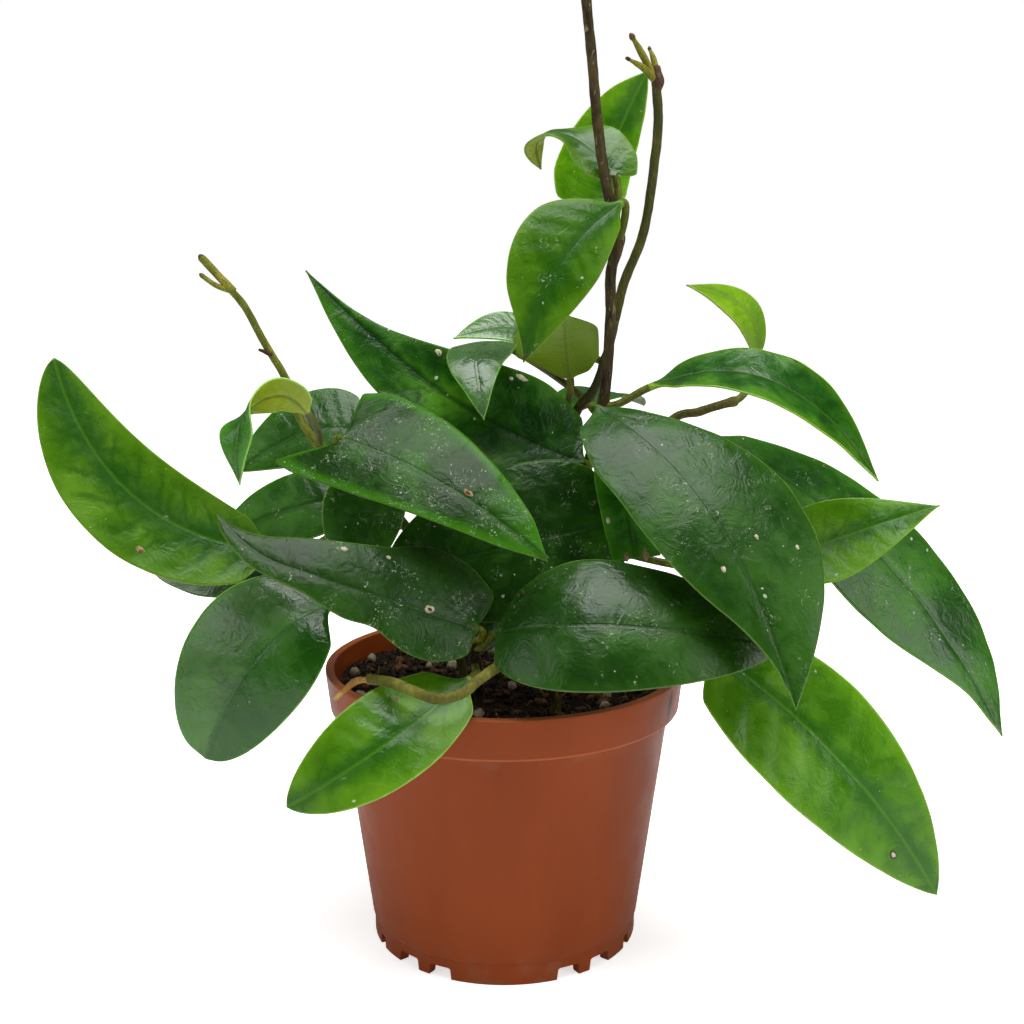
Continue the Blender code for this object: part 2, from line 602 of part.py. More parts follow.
def leafRows(leaf, rows, stalkCount):
    """Centre, tangent and share along the blade for each row; negative shares are the stalk."""
    rib = leaf["rib"]
    base = ribPoint(rib, 0)
    start, towards = stalkStart(leaf)
    reach = (base - start).length / 3
    into = (ribPoint(rib, 0.05) - base).normalized()
    stalk = interpolate_bezier(start, start + towards * reach, base - into * reach, base, stalkCount + 1)
    result = []
    for index, spot in enumerate(stalk[:-1]):
        follow = (stalk[index + 1] - spot).normalized()
        result.append((spot, towards if index == 0 else follow, index / stalkCount - 1))
    for index in range(rows + 1):
        share = (1 - math.cos(math.pi * index / rows)) / 2
        share = 0.5 * share + 0.5 * index / rows
        before = ribPoint(rib, max(share - 0.02, 0))
        after = ribPoint(rib, min(share + 0.02, 1))
        result.append((ribPoint(rib, share), (after - before).normalized(), share))
    return result


def sectionPoint(leaf, row, across, upper):
    """A point of the leaf's skin; across runs from -1 at the left margin to 1 at the right."""
    centre, follow, share = row
    face = faceAt(leaf, share)
    normal = (face - follow * face.dot(follow)).normalized()
    side = follow.cross(normal)
    roundness = math.radians(80) * across
    stalk = centre + (side * math.sin(roundness) + normal * upper * math.cos(roundness)) * stalkRadius
    if share <= 0:
        return stalk
    blend = min(share / leaf.get("neck", 0.12), 1.0)
    blend = blend * blend * (3 - 2 * blend)
    half = leaf["half"][1 if across > 0 else 0]
    width = max(half * widthAt(leaf, share, across > 0), 0.5)
    if "notch" in leaf and across < 0:
        middle, depth = leaf["notch"]
        width *= 1 - depth * math.exp(-((share - middle) / 0.05) ** 2)
    bend = math.radians(leaf.get("cup", 0)) * width / half
    turn = bend * abs(across)
    outward = width / bend * math.sin(turn) if bend else width * abs(across)
    lift = width / bend * (1 - math.cos(turn)) if bend else 0.0
    sign = 1 if across > 0 else -1
    heart = leaf.get("heart", (0, 0))[1 if across > 0 else 0]
    sweep = heart * abs(across) ** 1.5 * (1 - share) ** 3
    thick = bladeThick + (marginThick - bladeThick) * across ** 4
    thick *= 0.6 + 0.4 * min((1 - share) / 0.1, 1.0)
    outwardNormal = normal * math.cos(turn) - side * sign * math.sin(turn)
    blade = centre + side * sign * outward + normal * lift - follow * sweep
    blade += outwardNormal * upper * thick / 2
    return stalk.lerp(blade, blend)


def makeLeaf(name, leaf, parts, material):
    rows = leafRows(leaf, bladeRows, stalkRows)
    around = 2 * bladeColumns + 2
    bm = bmesh.new()
    bmesh.ops.create_grid(bm, x_segments=len(rows) - 1, y_segments=around, size=0.5)
    for vert in bm.verts:
        row = round((vert.co.x + 0.5) * (len(rows) - 1))
        ring = round((vert.co.y + 0.5) * around) % around
        upper = 1 if ring <= bladeColumns else -1
        column = ring if upper > 0 else around - 1 - ring
        vert.co = sectionPoint(leaf, rows[row], 2 * column / bladeColumns - 1, upper) * mm
        vert.index = ring
    upperFaces = []
    lowerFaces = []
    for face in bm.faces:
        rings = [vert.index for vert in face.verts]
        (upperFaces if max(rings) <= bladeColumns else lowerFaces).append(face)
    # Both skins are split along the same diagonals, so a thin bent blade never crosses itself.
    bmesh.ops.triangulate(bm, faces=upperFaces, quad_method="FIXED")
    bmesh.ops.triangulate(bm, faces=lowerFaces, quad_method="ALTERNATE")
    bmesh.ops.remove_doubles(bm, verts=bm.verts, dist=0.00001)
    bmesh.ops.holes_fill(bm, edges=[edge for edge in bm.edges if edge.is_boundary], sides=0)
    bmesh.ops.recalc_face_normals(bm, faces=bm.faces)
    item = addObject(name, meshFrom(bm, name), parts, material)
    item.data.shade_smooth()
    item.data.set_sharp_from_angle(angle=math.radians(50))


clearScene()
parts = newCollection("potted_hoya_plant")
cutters = newCollection("cutters")
terracotta = principled("terracotta plastic", (0.24, 0.055, 0.02), 0.5)
peat = principled("peat", (0.012, 0.008, 0.006), 0.95)
bark = principled("brown bark", (0.07, 0.05, 0.025), 0.7)
greenBlade = principled("green leaf", (0.03, 0.12, 0.015), 0.35)

makePot(parts, cutters, terracotta)
makeSoil(parts, cutters, peat)
for name, stem in stems.items():
    makeStem(name, stem, parts, bark)
for name, leaf in leaves.items():
    makeLeaf(name, leaf, parts, greenBlade)
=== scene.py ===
import math
import random
from collections import namedtuple
import bpy
import bmesh
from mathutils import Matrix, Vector, noise
from mathutils.geometry import interpolate_bezier


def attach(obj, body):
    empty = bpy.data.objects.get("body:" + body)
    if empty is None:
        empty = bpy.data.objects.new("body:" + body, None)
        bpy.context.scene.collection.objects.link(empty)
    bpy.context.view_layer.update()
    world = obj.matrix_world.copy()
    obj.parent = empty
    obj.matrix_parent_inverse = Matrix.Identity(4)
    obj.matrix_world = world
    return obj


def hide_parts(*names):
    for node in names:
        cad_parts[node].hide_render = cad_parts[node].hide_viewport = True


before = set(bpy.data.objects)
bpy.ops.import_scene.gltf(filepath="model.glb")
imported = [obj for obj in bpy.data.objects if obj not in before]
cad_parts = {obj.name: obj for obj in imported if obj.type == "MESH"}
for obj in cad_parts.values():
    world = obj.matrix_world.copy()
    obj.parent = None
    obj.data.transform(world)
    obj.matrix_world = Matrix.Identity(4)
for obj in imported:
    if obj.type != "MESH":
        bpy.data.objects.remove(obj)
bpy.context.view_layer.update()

mm = 0.001
scene = bpy.context.scene
print("frame loaded:", len(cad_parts), "nodes")

# Node helpers: a plain value goes on the socket, an output is linked to it.


def fill(tree, node, inputs):
    for key, value in inputs.items():
        socket = node.inputs[key]
        if isinstance(value, bpy.types.NodeSocket):
            tree.links.new(value, socket)
        elif socket.type == "RGBA" and len(value) == 3:
            socket.default_value = (*value, 1.0)
        else:
            socket.default_value = value
    return node


def put(tree, kind, inputs, **settings):
    node = tree.nodes.new("ShaderNode" + kind)
    for key, value in settings.items():
        setattr(node, key, value)
    return fill(tree, node, inputs)


def calc(tree, operation, *values):
    return put(tree, "Math", dict(enumerate(values)), operation=operation).outputs[0]


def times(tree, *values):
    return calc(tree, "MULTIPLY", *values)


def plus(tree, *values):
    return calc(tree, "ADD", *values)


def vectorCalc(tree, operation, *values):
    outputs = put(tree, "VectorMath", dict(enumerate(values)), operation=operation).outputs
    return outputs["Value" if operation == "LENGTH" else "Vector"]


def fade(tree, value, start, end, low=0.0, high=1.0):
    inputs = {"Value": value, "From Min": start, "From Max": end, "To Min": low, "To Max": high}
    return put(tree, "MapRange", inputs, interpolation_type="SMOOTHSTEP").outputs["Result"]


def blendColour(tree, share, first, second):
    return put(tree, "Mix", {0: share, 6: first, 7: second}, data_type="RGBA").outputs[2]


def clouds(tree, position, scale, detail=3.0, distortion=0.0, roughness=0.5):
    inputs = {"Vector": position, "Scale": scale, "Detail": detail, "Distortion": distortion,
              "Roughness": roughness}
    return put(tree, "TexNoise", inputs).outputs["Fac"]


def ownValue(tree, name):
    return put(tree, "Attribute", {}, attribute_name=name).outputs["Fac"]


def objectPosition(tree):
    return put(tree, "TexCoord", {}).outputs["Object"]


def stretchedAlong(tree, position, share):
    return put(tree, "Mapping", {"Vector": position, "Scale": (1.0, 1.0, share)}).outputs[0]


def addBump(tree, shader, height, strength, distance=0.0006):
    bump = put(tree, "Bump", {"Strength": strength, "Distance": distance, "Height": height})
    fill(tree, shader, {"Normal": bump.outputs["Normal"]})


def newFinish(name, inputs):
    material = bpy.data.materials.new(name)
    material.use_nodes = True
    tree = material.node_tree
    return material, tree, fill(tree, tree.nodes["Principled BSDF"], inputs)


def newGroup(name, inputs, outputs):
    tree = bpy.data.node_groups.new(name, "ShaderNodeTree")
    for way, sockets in (("INPUT", inputs), ("OUTPUT", outputs)):
        for label, kind in sockets.items():
            tree.interface.new_socket(name=label, in_out=way, socket_type="NodeSocket" + kind)
    return tree, tree.nodes.new("NodeGroupInput").outputs, tree.nodes.new("NodeGroupOutput")


def useGroup(tree, group, inputs):
    node = tree.nodes.new("ShaderNodeGroup")
    node.node_tree = group
    return fill(tree, node, inputs).outputs


# Object helpers.


def toMesh(name, bm):
    mesh = bpy.data.meshes.new(name)
    bm.to_mesh(mesh)
    bm.free()
    return mesh


def newObject(name, data):
    item = bpy.data.objects.new(name, data)
    scene.collection.objects.link(item)
    return item


def addPiece(name, bm, finish, replaced=()):
    item = newObject(name, toMesh(name, bm))
    item.data.shade_smooth()
    item.data.materials.append(finish)
    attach(item, "root")
    if replaced:
        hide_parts(*replaced)
    return item


def applyModifiers(item):
    depsgraph = bpy.context.evaluated_depsgraph_get()
    mesh = bpy.data.meshes.new_from_object(item.evaluated_get(depsgraph))
    item.modifiers.clear()
    item.data = mesh
    mesh.shade_smooth()


def closeShape(bm):
    bmesh.ops.remove_doubles(bm, verts=bm.verts, dist=0.000004)
    bmesh.ops.holes_fill(bm, edges=[edge for edge in bm.edges if edge.is_boundary], sides=0)
    bmesh.ops.recalc_face_normals(bm, faces=bm.faces)
    return bm


def eased(share):
    return share * share * (3 - 2 * share)


def alongPoints(points, place):
    # A spot on the smooth curve through the points; place counts points from the first.
    index = max(min(int(place), len(points) - 2), 0)
    t = place - index
    start, end = Vector(points[index]), Vector(points[index + 1])
    before = Vector(points[index - 1]) if index else start * 2 - end
    after = Vector(points[index + 2]) if index + 2 < len(points) else end * 2 - start
    bend = 2 * before - 5 * start + 4 * end - after
    twist = 3 * start - before - 3 * end + after
    return 0.5 * (2 * start + (end - before) * t + bend * t * t + twist * t * t * t)


def smoothRoute(points, perSpan):
    steps = (len(points) - 1) * perSpan
    return [alongPoints(points, step / perSpan) for step in range(steps + 1)]


def between(values, place):
    index = max(min(int(place), len(values) - 2), 0)
    return values[index] + (values[index + 1] - values[index]) * eased(place - index)


def stemRadius(stem, share):
    root, tip = stem["radii"]
    return root + (tip - root) * share


def wrapTube(bm, spots, radii, sides, bark, roundTip):
    # A grid wrapped round the route; bark roughens it, and a live tip is rounded off.
    spots, radii = list(spots), list(radii)
    if roundTip:
        follow = (spots[-1] - spots[-2]).normalized()
        end, last = spots[-1], radii[-1]
        for turn in (30, 60, 85):
            angle = math.radians(turn)
            spots.append(end + follow * last * math.sin(angle))
            radii.append(last * math.cos(angle))
    alongLayer = bm.verts.layers.float.get("along") or bm.verts.layers.float.new("along")
    fresh = bmesh.ops.create_grid(bm, x_segments=len(spots) - 1, y_segments=sides, size=0.5)["verts"]
    frames = []
    side = None
    length = 0.0
    for index, spot in enumerate(spots):
        follow = (spots[min(index + 1, len(spots) - 1)] - spots[max(index - 1, 0)]).normalized()
        side = follow.orthogonal() if side is None else side - follow * side.dot(follow)
        side = side.normalized()
        length += (spot - spots[max(index - 1, 0)]).length
        frames.append((spot, side, follow.cross(side), length))
    for vert in fresh:
        row = round((vert.co.x + 0.5) * (len(spots) - 1))
        turn = math.tau * (round((vert.co.y + 0.5) * sides) % sides) / sides
        spot, side, other, length = frames[row]
        radius = radii[row]
        outward = side * math.cos(turn) + other * math.sin(turn)
        if bark:
            # Ridges run along the stem: ten times as long as they are wide.
            grain = Vector((outward.x * 2.2, outward.y * 2.2, length * 0.22))
            radius *= 1.0 + bark * noise.fractal(grain, 1.0, 2.0, 4)
        vert.co = (spot + outward * radius) * mm
        vert[alongLayer] = length


# The pot: thin moulded plastic, a rim band, a ledge near the foot and feet between notches.
pot = {
    "height": 94.0, "rimRadius": 60.0, "bandFoot": 80.5, "bandFlare": 1.5, "lipInner": 57.2,
    "lipTaper": 2.2, "bodyTop": 55.2, "bodyFoot": 45.6, "footRadius": 45.0, "footHeight": 4.0,
    "footInner": 41.5, "footDraft": 0.8, "wall": 2.0, "floorTop": 6.0, "floorRound": 2.0,
    "seamHeight": 7.5, "drainHoles": 8, "drainReach": 32.0, "drainRadius": 3.0, "padRadius": 6.0,
    "notches": ((22, 33), (38, 50), (62, 68)), "steps": 180,
}


def innerWall(height):
    if height > pot["bandFoot"]:
        bandHeight = pot["height"] - pot["bandFoot"]
        return pot["lipInner"] - pot["lipTaper"] * (pot["height"] - height) / bandHeight
    foot = pot["floorTop"] + pot["floorRound"]
    share = (height - foot) / (pot["bandFoot"] - foot)
    return (pot["bodyFoot"] - pot["wall"]) * (1 - share) + (pot["lipInner"] - pot["lipTaper"]) * share


def turned(profile, steps):
    bm = bmesh.new()
    verts = [bm.verts.new((radius * mm, 0, height * mm)) for radius, height in profile]
    edges = [bm.edges.new(pair) for pair in zip(verts, verts[1:])]
    bmesh.ops.spin(bm, geom=verts + edges, cent=(0, 0, 0), axis=(0, 0, 1), dvec=(0, 0, 0),
                   angle=math.tau, steps=steps, use_merge=True)
    bmesh.ops.remove_doubles(bm, verts=bm.verts, dist=0.000005)
    bmesh.ops.recalc_face_normals(bm, faces=bm.faces)
    return bm


def roundCorner(before, corner, after, radius, steps=4):
    start = Vector(corner) + (Vector(before) - Vector(corner)).normalized() * radius
    end = Vector(corner) + (Vector(after) - Vector(corner)).normalized() * radius
    spots = []
    for step in range(steps + 1):
        t = step / steps
        spots.append(tuple(start.lerp(Vector(corner), t).lerp(Vector(corner).lerp(end, t), t)))
    return spots


def potProfile():
    foot = innerWall(pot["floorTop"] + pot["floorRound"])
    top, band, seam = pot["height"], pot["bandFoot"], pot["seamHeight"]
    # Each corner with its rounding; the skirt under the band and the seam are fine steps.
    corners = [
        ((0, pot["floorTop"]), 0), ((foot - 2.0, pot["floorTop"]), 1.0), ((foot, 8.0), 1.0),
        ((innerWall(band), band), 1.5), ((pot["lipInner"], top), 0.45),
        ((pot["rimRadius"] - 0.1, top), 0.5), ((pot["rimRadius"], top - 0.7), 0.3),
        ((pot["rimRadius"] - pot["bandFlare"], band), 0.5),
        ((pot["bodyTop"] + 0.5, band), 0.5), ((pot["bodyTop"] - 0.05, band - 1.6), 0.8),
        ((pot["bodyFoot"] + 0.05, seam + 0.3), 0.25), ((pot["bodyFoot"] - 0.25, seam), 0.12),
        ((pot["footRadius"] + 0.05, seam - 0.5), 0.25), ((pot["footRadius"], 0), 0.4),
        ((pot["footInner"], 0), 0.4), ((pot["footInner"], pot["footHeight"]), 0.6),
        ((pot["padRadius"], pot["footHeight"]), 0.5), ((pot["padRadius"], 0), 0.4), ((0, 0), 0),
    ]
    profile = []
    for index, (corner, radius) in enumerate(corners):
        if radius:
            profile += roundCorner(corners[index - 1][0], corner, corners[index + 1][0], radius)
        else:
            profile.append(corner)
    return profile


def addCutter(target, bm):
    cutter = newObject("cutter", toMesh("cutter", bm))
    cut = target.modifiers.new("cut", "BOOLEAN")
    cut.operation = "DIFFERENCE"
    cut.object = cutter
    return cutter


def notchShape(start, end):
    bm = bmesh.new()
    bmesh.ops.create_cube(bm, size=1.0)
    upper = [edge for edge in bm.edges if all(vert.co.z > 0 for vert in edge.verts)]
    upper = [edge for edge in upper if abs(edge.verts[0].co.x - edge.verts[1].co.x) < 0.1]
    bmesh.ops.bevel(bm, geom=upper, offset=0.12, offset_type="OFFSET", segments=3, profile=0.5,
                    affect="EDGES", material=-1)
    for vert in bm.verts:
        share = vert.co.x + 0.5
        drift = pot["footDraft"] * (vert.co.z + 0.5)
        degrees = (start + drift) * (1 - share) + (end - drift) * share
        radius = pot["footRadius"] + 3.0 if vert.co.y < 0 else pot["footInner"] - 2.0
        height = -1.0 + (pot["footHeight"] + 1.0) * (vert.co.z + 0.5)
        angle = math.radians(degrees)
        vert.co = Vector((radius * math.sin(angle), -radius * math.cos(angle), height)) * mm
    bmesh.ops.recalc_face_normals(bm, faces=bm.faces)
    return bm


def boreShape(angle):
    bm = bmesh.new()
    depth = pot["floorTop"] - pot["footHeight"] + 2
    bmesh.ops.create_cone(bm, cap_ends=True, segments=32, radius1=pot["drainRadius"] * mm,
                          radius2=pot["drainRadius"] * mm, depth=depth * mm)
    height = (pot["floorTop"] + pot["footHeight"]) / 2
    spot = Vector((pot["drainReach"] * math.cos(angle), pot["drainReach"] * math.sin(angle), height))
    bmesh.ops.translate(bm, verts=bm.verts, vec=spot * mm)
    return bm


# The edge tone is a painted highlight along the lip and the foot of the band.
potLook = {
    "colour": (0.275, 0.047, 0.004), "shade": (0.235, 0.040, 0.003), "dust": (0.30, 0.18, 0.12),
    "dustShare": 0.22, "dustHeight": 0.016, "edge": (0.52, 0.16, 0.06), "edgeHighlightShare": 0.4,
    "mark": (0.053, -0.0265, 0.087), "markTone": (0.03, 0.010, 0.005), "rough": (0.34, 0.46),
}


def makePotPlastic():
    material, tree, shader = newFinish("terracottaPlastic", {"Specular IOR Level": 0.18})
    position = objectPosition(tree)
    height = put(tree, "SeparateXYZ", {"Vector": position}).outputs["Z"]
    band, top = pot["bandFoot"] * mm, pot["height"] * mm
    # Long faint streaks run up the moulded wall; a little dust lies at the foot and under the band.
    streak = stretchedAlong(tree, position, 0.12)
    tone = clouds(tree, streak, 60.0, 4.0)
    colour = blendColour(tree, fade(tree, tone, 0.3, 0.75), potLook["colour"], potLook["shade"])
    low = fade(tree, height, potLook["dustHeight"], 0.0)
    under = times(tree, fade(tree, height, band - 0.0065, band - 0.001),
                  fade(tree, height, band + 0.001, band - 0.0005))
    grime = fade(tree, clouds(tree, position, 120.0, 5.0), 0.42, 0.72)
    dusty = times(tree, calc(tree, "MAXIMUM", low, under), grime)
    colour = blendColour(tree, times(tree, dusty, potLook["dustShare"]), colour, potLook["dust"])
    # Painted highlights: the lip and the foot of the band are lightened as if they caught the light; a
    # dark flaw of the moulding sits on the band.
    skirt = times(tree, fade(tree, height, band - 0.0002, band + 0.0002),
                  fade(tree, height, band + 0.001, band + 0.0005))
    edges = calc(tree, "MAXIMUM", skirt, fade(tree, height, top - 0.0007, top - 0.0002))
    colour = blendColour(tree, times(tree, edges, potLook["edgeHighlightShare"]), colour, potLook["edge"])
    apart = vectorCalc(tree, "SUBTRACT", position, potLook["mark"])
    reach = vectorCalc(tree, "LENGTH", vectorCalc(tree, "MULTIPLY", apart, (1.0, 1.0, 0.3)))
    reach = plus(tree, reach, times(tree, clouds(tree, position, 600.0, 2.0), 0.0012))
    colour = blendColour(tree, fade(tree, reach, 0.0026, 0.0017), colour, potLook["markTone"])
    rough = fade(tree, clouds(tree, position, 90.0, 4.0), 0.3, 0.7, *potLook["rough"])
    rough = plus(tree, rough, times(tree, dusty, 0.2))
    fill(tree, shader, {"Base Color": colour, "Roughness": rough})
    grain = times(tree, clouds(tree, position, 1800.0, 2.0), 0.25)
    addBump(tree, shader, plus(tree, grain, clouds(tree, streak, 220.0, 3.0)), 0.12, 0.0004)
    return material


potShape = turned(potProfile(), pot["steps"])
potPiece = addPiece("potShell", potShape, makePotPlastic(), ["pot"])
cutters = []
for start, end in pot["notches"]:
    for turn in (0, 180):
        cutters.append(addCutter(potPiece, notchShape(turn + start, turn + end)))
        cutters.append(addCutter(potPiece, notchShape(turn - end, turn - start)))
for hole in range(pot["drainHoles"]):
    cutters.append(addCutter(potPiece, boreShape(math.tau * (hole + 0.5) / pot["drainHoles"])))
applyModifiers(potPiece)
potPiece.data.set_sharp_from_angle(angle=math.radians(32))
for cutter in cutters:
    bpy.data.objects.remove(cutter)
print("pot made")


# Potting mix: dark peat with crumbs, bark chips, fibres and grey perlite.
soil = {
    "level": 87.5, "relief": 1.2, "rings": 90, "steps": 240, "seed": 11,
    "crumbs": 1500, "chips": 210, "fibres": 130, "pebbles": 34,
    "crumbSizes": (0.5, 1.9), "chipSizes": (1.0, 2.4), "fibreLengths": (4.0, 11.0),
    "pebbleSizes": (1.2, 2.4), "reach": 54.0, "chipReach": 52.0, "pebbleReach": 53.0,
    "wallGap": 0.4, "floorGap": 0.4,
    "peat": (0.007, 0.0045, 0.003), "peatLight": (0.062, 0.032, 0.014), "chip": (0.15, 0.066, 0.024),
    "fibre": (0.18, 0.09, 0.035), "pebble": (0.34, 0.28, 0.19), "pebbleDirt": (0.10, 0.07, 0.045),
}
chance = random.Random(soil["seed"])


def soilHeight(x, y):
    fine = noise.noise(Vector((x * 0.16, y * 0.16, 3.0)))
    broad = noise.noise(Vector((x * 0.05, y * 0.05, 9.0)))
    return soil["level"] + soil["relief"] * (fine + broad)


def peatHeight(x, y):
    crumbly = noise.fractal(Vector((x * 0.55, y * 0.55, 5.0)), 1.0, 2.0, 4)
    return soilHeight(x, y) - 0.5 + 1.1 * crumbly


def makeGround():
    gap, floor = soil["wallGap"], pot["floorTop"] + soil["floorGap"]
    edge = innerWall(soil["level"]) - gap
    profile = [(edge * index / soil["rings"], soil["level"]) for index in range(soil["rings"] + 1)]
    foot = innerWall(8.0) - 0.5
    profile += [(innerWall(pot["bandFoot"]) - gap, pot["bandFoot"]), (foot, floor + 2),
                (foot - 2.4, floor), (0, floor)]
    bm = turned(profile, soil["steps"])
    for vert in bm.verts:
        if vert.co.z > (soil["level"] - 1) * mm:
            vert.co.z = peatHeight(vert.co.x / mm, vert.co.y / mm) * mm
    return bm


def anySpot(reach):
    angle = chance.uniform(0, math.tau)
    radius = reach * math.sqrt(chance.random())
    return radius * math.cos(angle), radius * math.sin(angle)


def scatter(count, grow, sizes, reach, lift):
    bm = bmesh.new()
    for _ in range(count):
        x, y = anySpot(reach)
        size = chance.uniform(*sizes)
        turn = Vector([chance.uniform(-1, 1) for _ in range(3)]).normalized()
        matrix = turn.to_track_quat("Z", "Y").to_matrix()
        centre = Vector((x, y, peatHeight(x, y) + lift * size))
        for vert in grow(bm, size):
            vert.co = (matrix @ vert.co + centre) * mm
    return bm


def growCrumb(bm, size):
    shape = bmesh.ops.create_icosphere(bm, subdivisions=1, radius=size)["verts"]
    for vert in shape:
        vert.co = Vector((vert.co.x, vert.co.y * 0.8, vert.co.z * 0.7)) * chance.uniform(0.6, 1.25)
    return shape


def growChip(bm, size):
    shape = bmesh.ops.create_icosphere(bm, subdivisions=1, radius=size)["verts"]
    long, wide = chance.uniform(1.2, 2.2), chance.uniform(0.6, 1.0)
    for vert in shape:
        flat = Vector((vert.co.x * long, vert.co.y * wide, vert.co.z * 0.35))
        vert.co = flat * chance.uniform(0.8, 1.15)
    return shape


def growPebble(bm, size):
    shape = bmesh.ops.create_icosphere(bm, subdivisions=2, radius=size)["verts"]
    offset = Vector((chance.uniform(0, 50), 0, 0))
    for vert in shape:
        vert.co *= 1.0 + 0.25 * noise.noise(vert.co.normalized() * 1.6 + offset)
        vert.co.z *= 0.8
    return shape


def strewFibres(count, lengths):
    # Thin bent strands lying on the peat.
    bm = bmesh.new()
    for _ in range(count):
        x, y = anySpot(soil["chipReach"])
        length, angle = chance.uniform(*lengths), chance.uniform(0, math.tau)
        bend, rise = chance.uniform(-0.5, 0.5), chance.uniform(0.0, 1.6)
        spots = []
        for step in range(6):
            share = step / 5 - 0.5
            turn = angle + bend * share * 2
            reach = length * share
            spot = Vector((x + math.cos(turn) * reach, y + math.sin(turn) * reach, 0))
            spot.z = peatHeight(spot.x, spot.y) + 0.4 + rise * (0.25 - share * share) * 3
            spots.append(spot)
        wrapTube(bm, spots, [0.1, 0.18, 0.2, 0.18, 0.14, 0.07], 5, 0.0, False)
    return closeShape(bm)


def makeCrumblyFinish(name, dark, light, scale, rough, amount):
    material, tree, shader = newFinish(name, {"Roughness": rough, "Specular IOR Level": 0.25})
    position = objectPosition(tree)
    patches = clouds(tree, position, scale, 5.0, 0.4, 0.65)
    colour = blendColour(tree, fade(tree, patches, *amount), dark, light)
    fill(tree, shader, {"Base Color": colour})
    addBump(tree, shader, clouds(tree, position, scale * 5, 4.0), 0.6)
    return material


def scattered(kind, grow, sizes, reach, lift=0.2):
    return scatter(soil[kind], grow, soil[sizes], soil[reach], lift)


finish = makeCrumblyFinish("darkPeat", soil["peat"], soil["peatLight"], 350.0, 0.95, (0.45, 0.75))
addPiece("soilPeat", makeGround(), finish, ["soil"])
finish = makeCrumblyFinish("peatCrumbs", soil["peat"], soil["peatLight"], 500.0, 0.95, (0.4, 0.7))
addPiece("soilCrumbs", scattered("crumbs", growCrumb, "crumbSizes", "reach"), finish)
finish = makeCrumblyFinish("barkChips", soil["peat"], soil["chip"], 260.0, 0.85, (0.3, 0.6))
chips = scattered("chips", growChip, "chipSizes", "chipReach", 0.3)
addPiece("soilBark", chips, finish)
finish = makeCrumblyFinish("peatFibres", soil["chip"], soil["fibre"], 300.0, 0.9, (0.35, 0.65))
addPiece("soilFibres", strewFibres(soil["fibres"], soil["fibreLengths"]), finish)
finish = makeCrumblyFinish("perlite", soil["pebbleDirt"], soil["pebble"], 420.0, 0.85, (0.3, 0.55))
pebbles = scattered("pebbles", growPebble, "pebbleSizes", "pebbleReach", 0.6)
addPiece("soilPerlite", pebbles, finish)
print("potting mix made")

# Nodes along each stem in millimetres, from its root, with radii at the root and at the tip.
stems = {
    "stem_tall": {
        "radii": (1.9, 1.5),
        "nodes": [(12, 2, 92), (16, 0, 122), (26, -2, 157), (32, -2, 181), (34, -2, 208), (34, -2, 223),
                  (36, -2, 234), (33, -2, 247), (31, -2, 257), (29, -2, 271), (27, -2, 291),
                  (25, -2, 308), (23, -2, 325), (24, -1, 340), (27, 0, 352)],
    },
    "stem_budding": {
        "radii": (1.6, 1.5),
        "nodes": [(21, 12, 92), (20, 10, 130), (20, 8, 158), (23, 7, 176), (29, 7, 184), (33, 7, 194),
                  (36, 7, 207), (39, 7, 220), (45, 7, 236), (48, 7, 257), (49, 7, 271), (48, 7, 283)],
        "twigs": [((1.2, 2.1, 1.4), [(48.4, 7, 279), (48.6, 7, 283), (48.2, 7, 286.5)]),
                  ((1.2, 1.2, 0.7), [(48, 7, 283), (44, 6, 290), (40, 4, 296)]),
                  ((1.2, 1.1, 0.5), [(48, 7, 283), (43.5, 3, 286.5), (38.5, 1, 289)]),
                  ((1.1, 1.0, 0.5), [(48.6, 7, 283), (47.5, 8, 289), (46, 9, 293)])],
    },
    "stem_shoot": {
        "radii": (1.6, 1.1),
        "nodes": [(-14, -4, 92), (-22, -8, 124), (-40, -12, 154), (-56, -14, 167), (-64, -14, 177),
                  (-68, -13, 189), (-75, -14, 202), (-80, -17, 213), (-84, -20, 219)],
        "twigs": [((1.3, 1.2), [(-83, -19, 218), (-87.5, -20, 223), (-92, -20, 228)]),
                  ((0.9, 0.7), [(-83, -19, 218), (-88, -21, 220), (-92, -22, 223)]),
                  ((0.9, 0.5), [(-73, -14, 198.5), (-76, -17, 200)])],
    },
    "stem_front": {
        "radii": (1.9, 1.6),
        "nodes": [(-8, -24, 92), (-9, -33, 104), (-10, -39, 114), (-10, -40, 121)],
    },
    "stem_cut": {
        "radii": (1.6, 1.6),
        "nodes": [(16, -32, 92), (10, -40, 105), (3, -48, 109.5), (-6, -61, 108), (-12, -67, 105),
                  (-19, -69, 104), (-27, -67, 106), (-33, -63, 107), (-40, -57, 106)],
        "twigs": [((0.8, 1.1, 0.8), [(-39, -58, 106), (-44, -58, 105.5), (-49, -63, 102)])],
    },
    "stem_right": {
        "radii": (1.7, 1.4),
        "nodes": [(30, -8, 92), (34, -8, 122), (42, -4, 150), (54, 3, 174), (65, 6, 178), (76, 8, 181)],
    },
    "stem_rear": {
        "radii": (1.7, 1.4),
        "nodes": [(-2, 24, 92), (-5, 30, 124), (-3, 34, 150), (2, 37, 170)],
    },
}

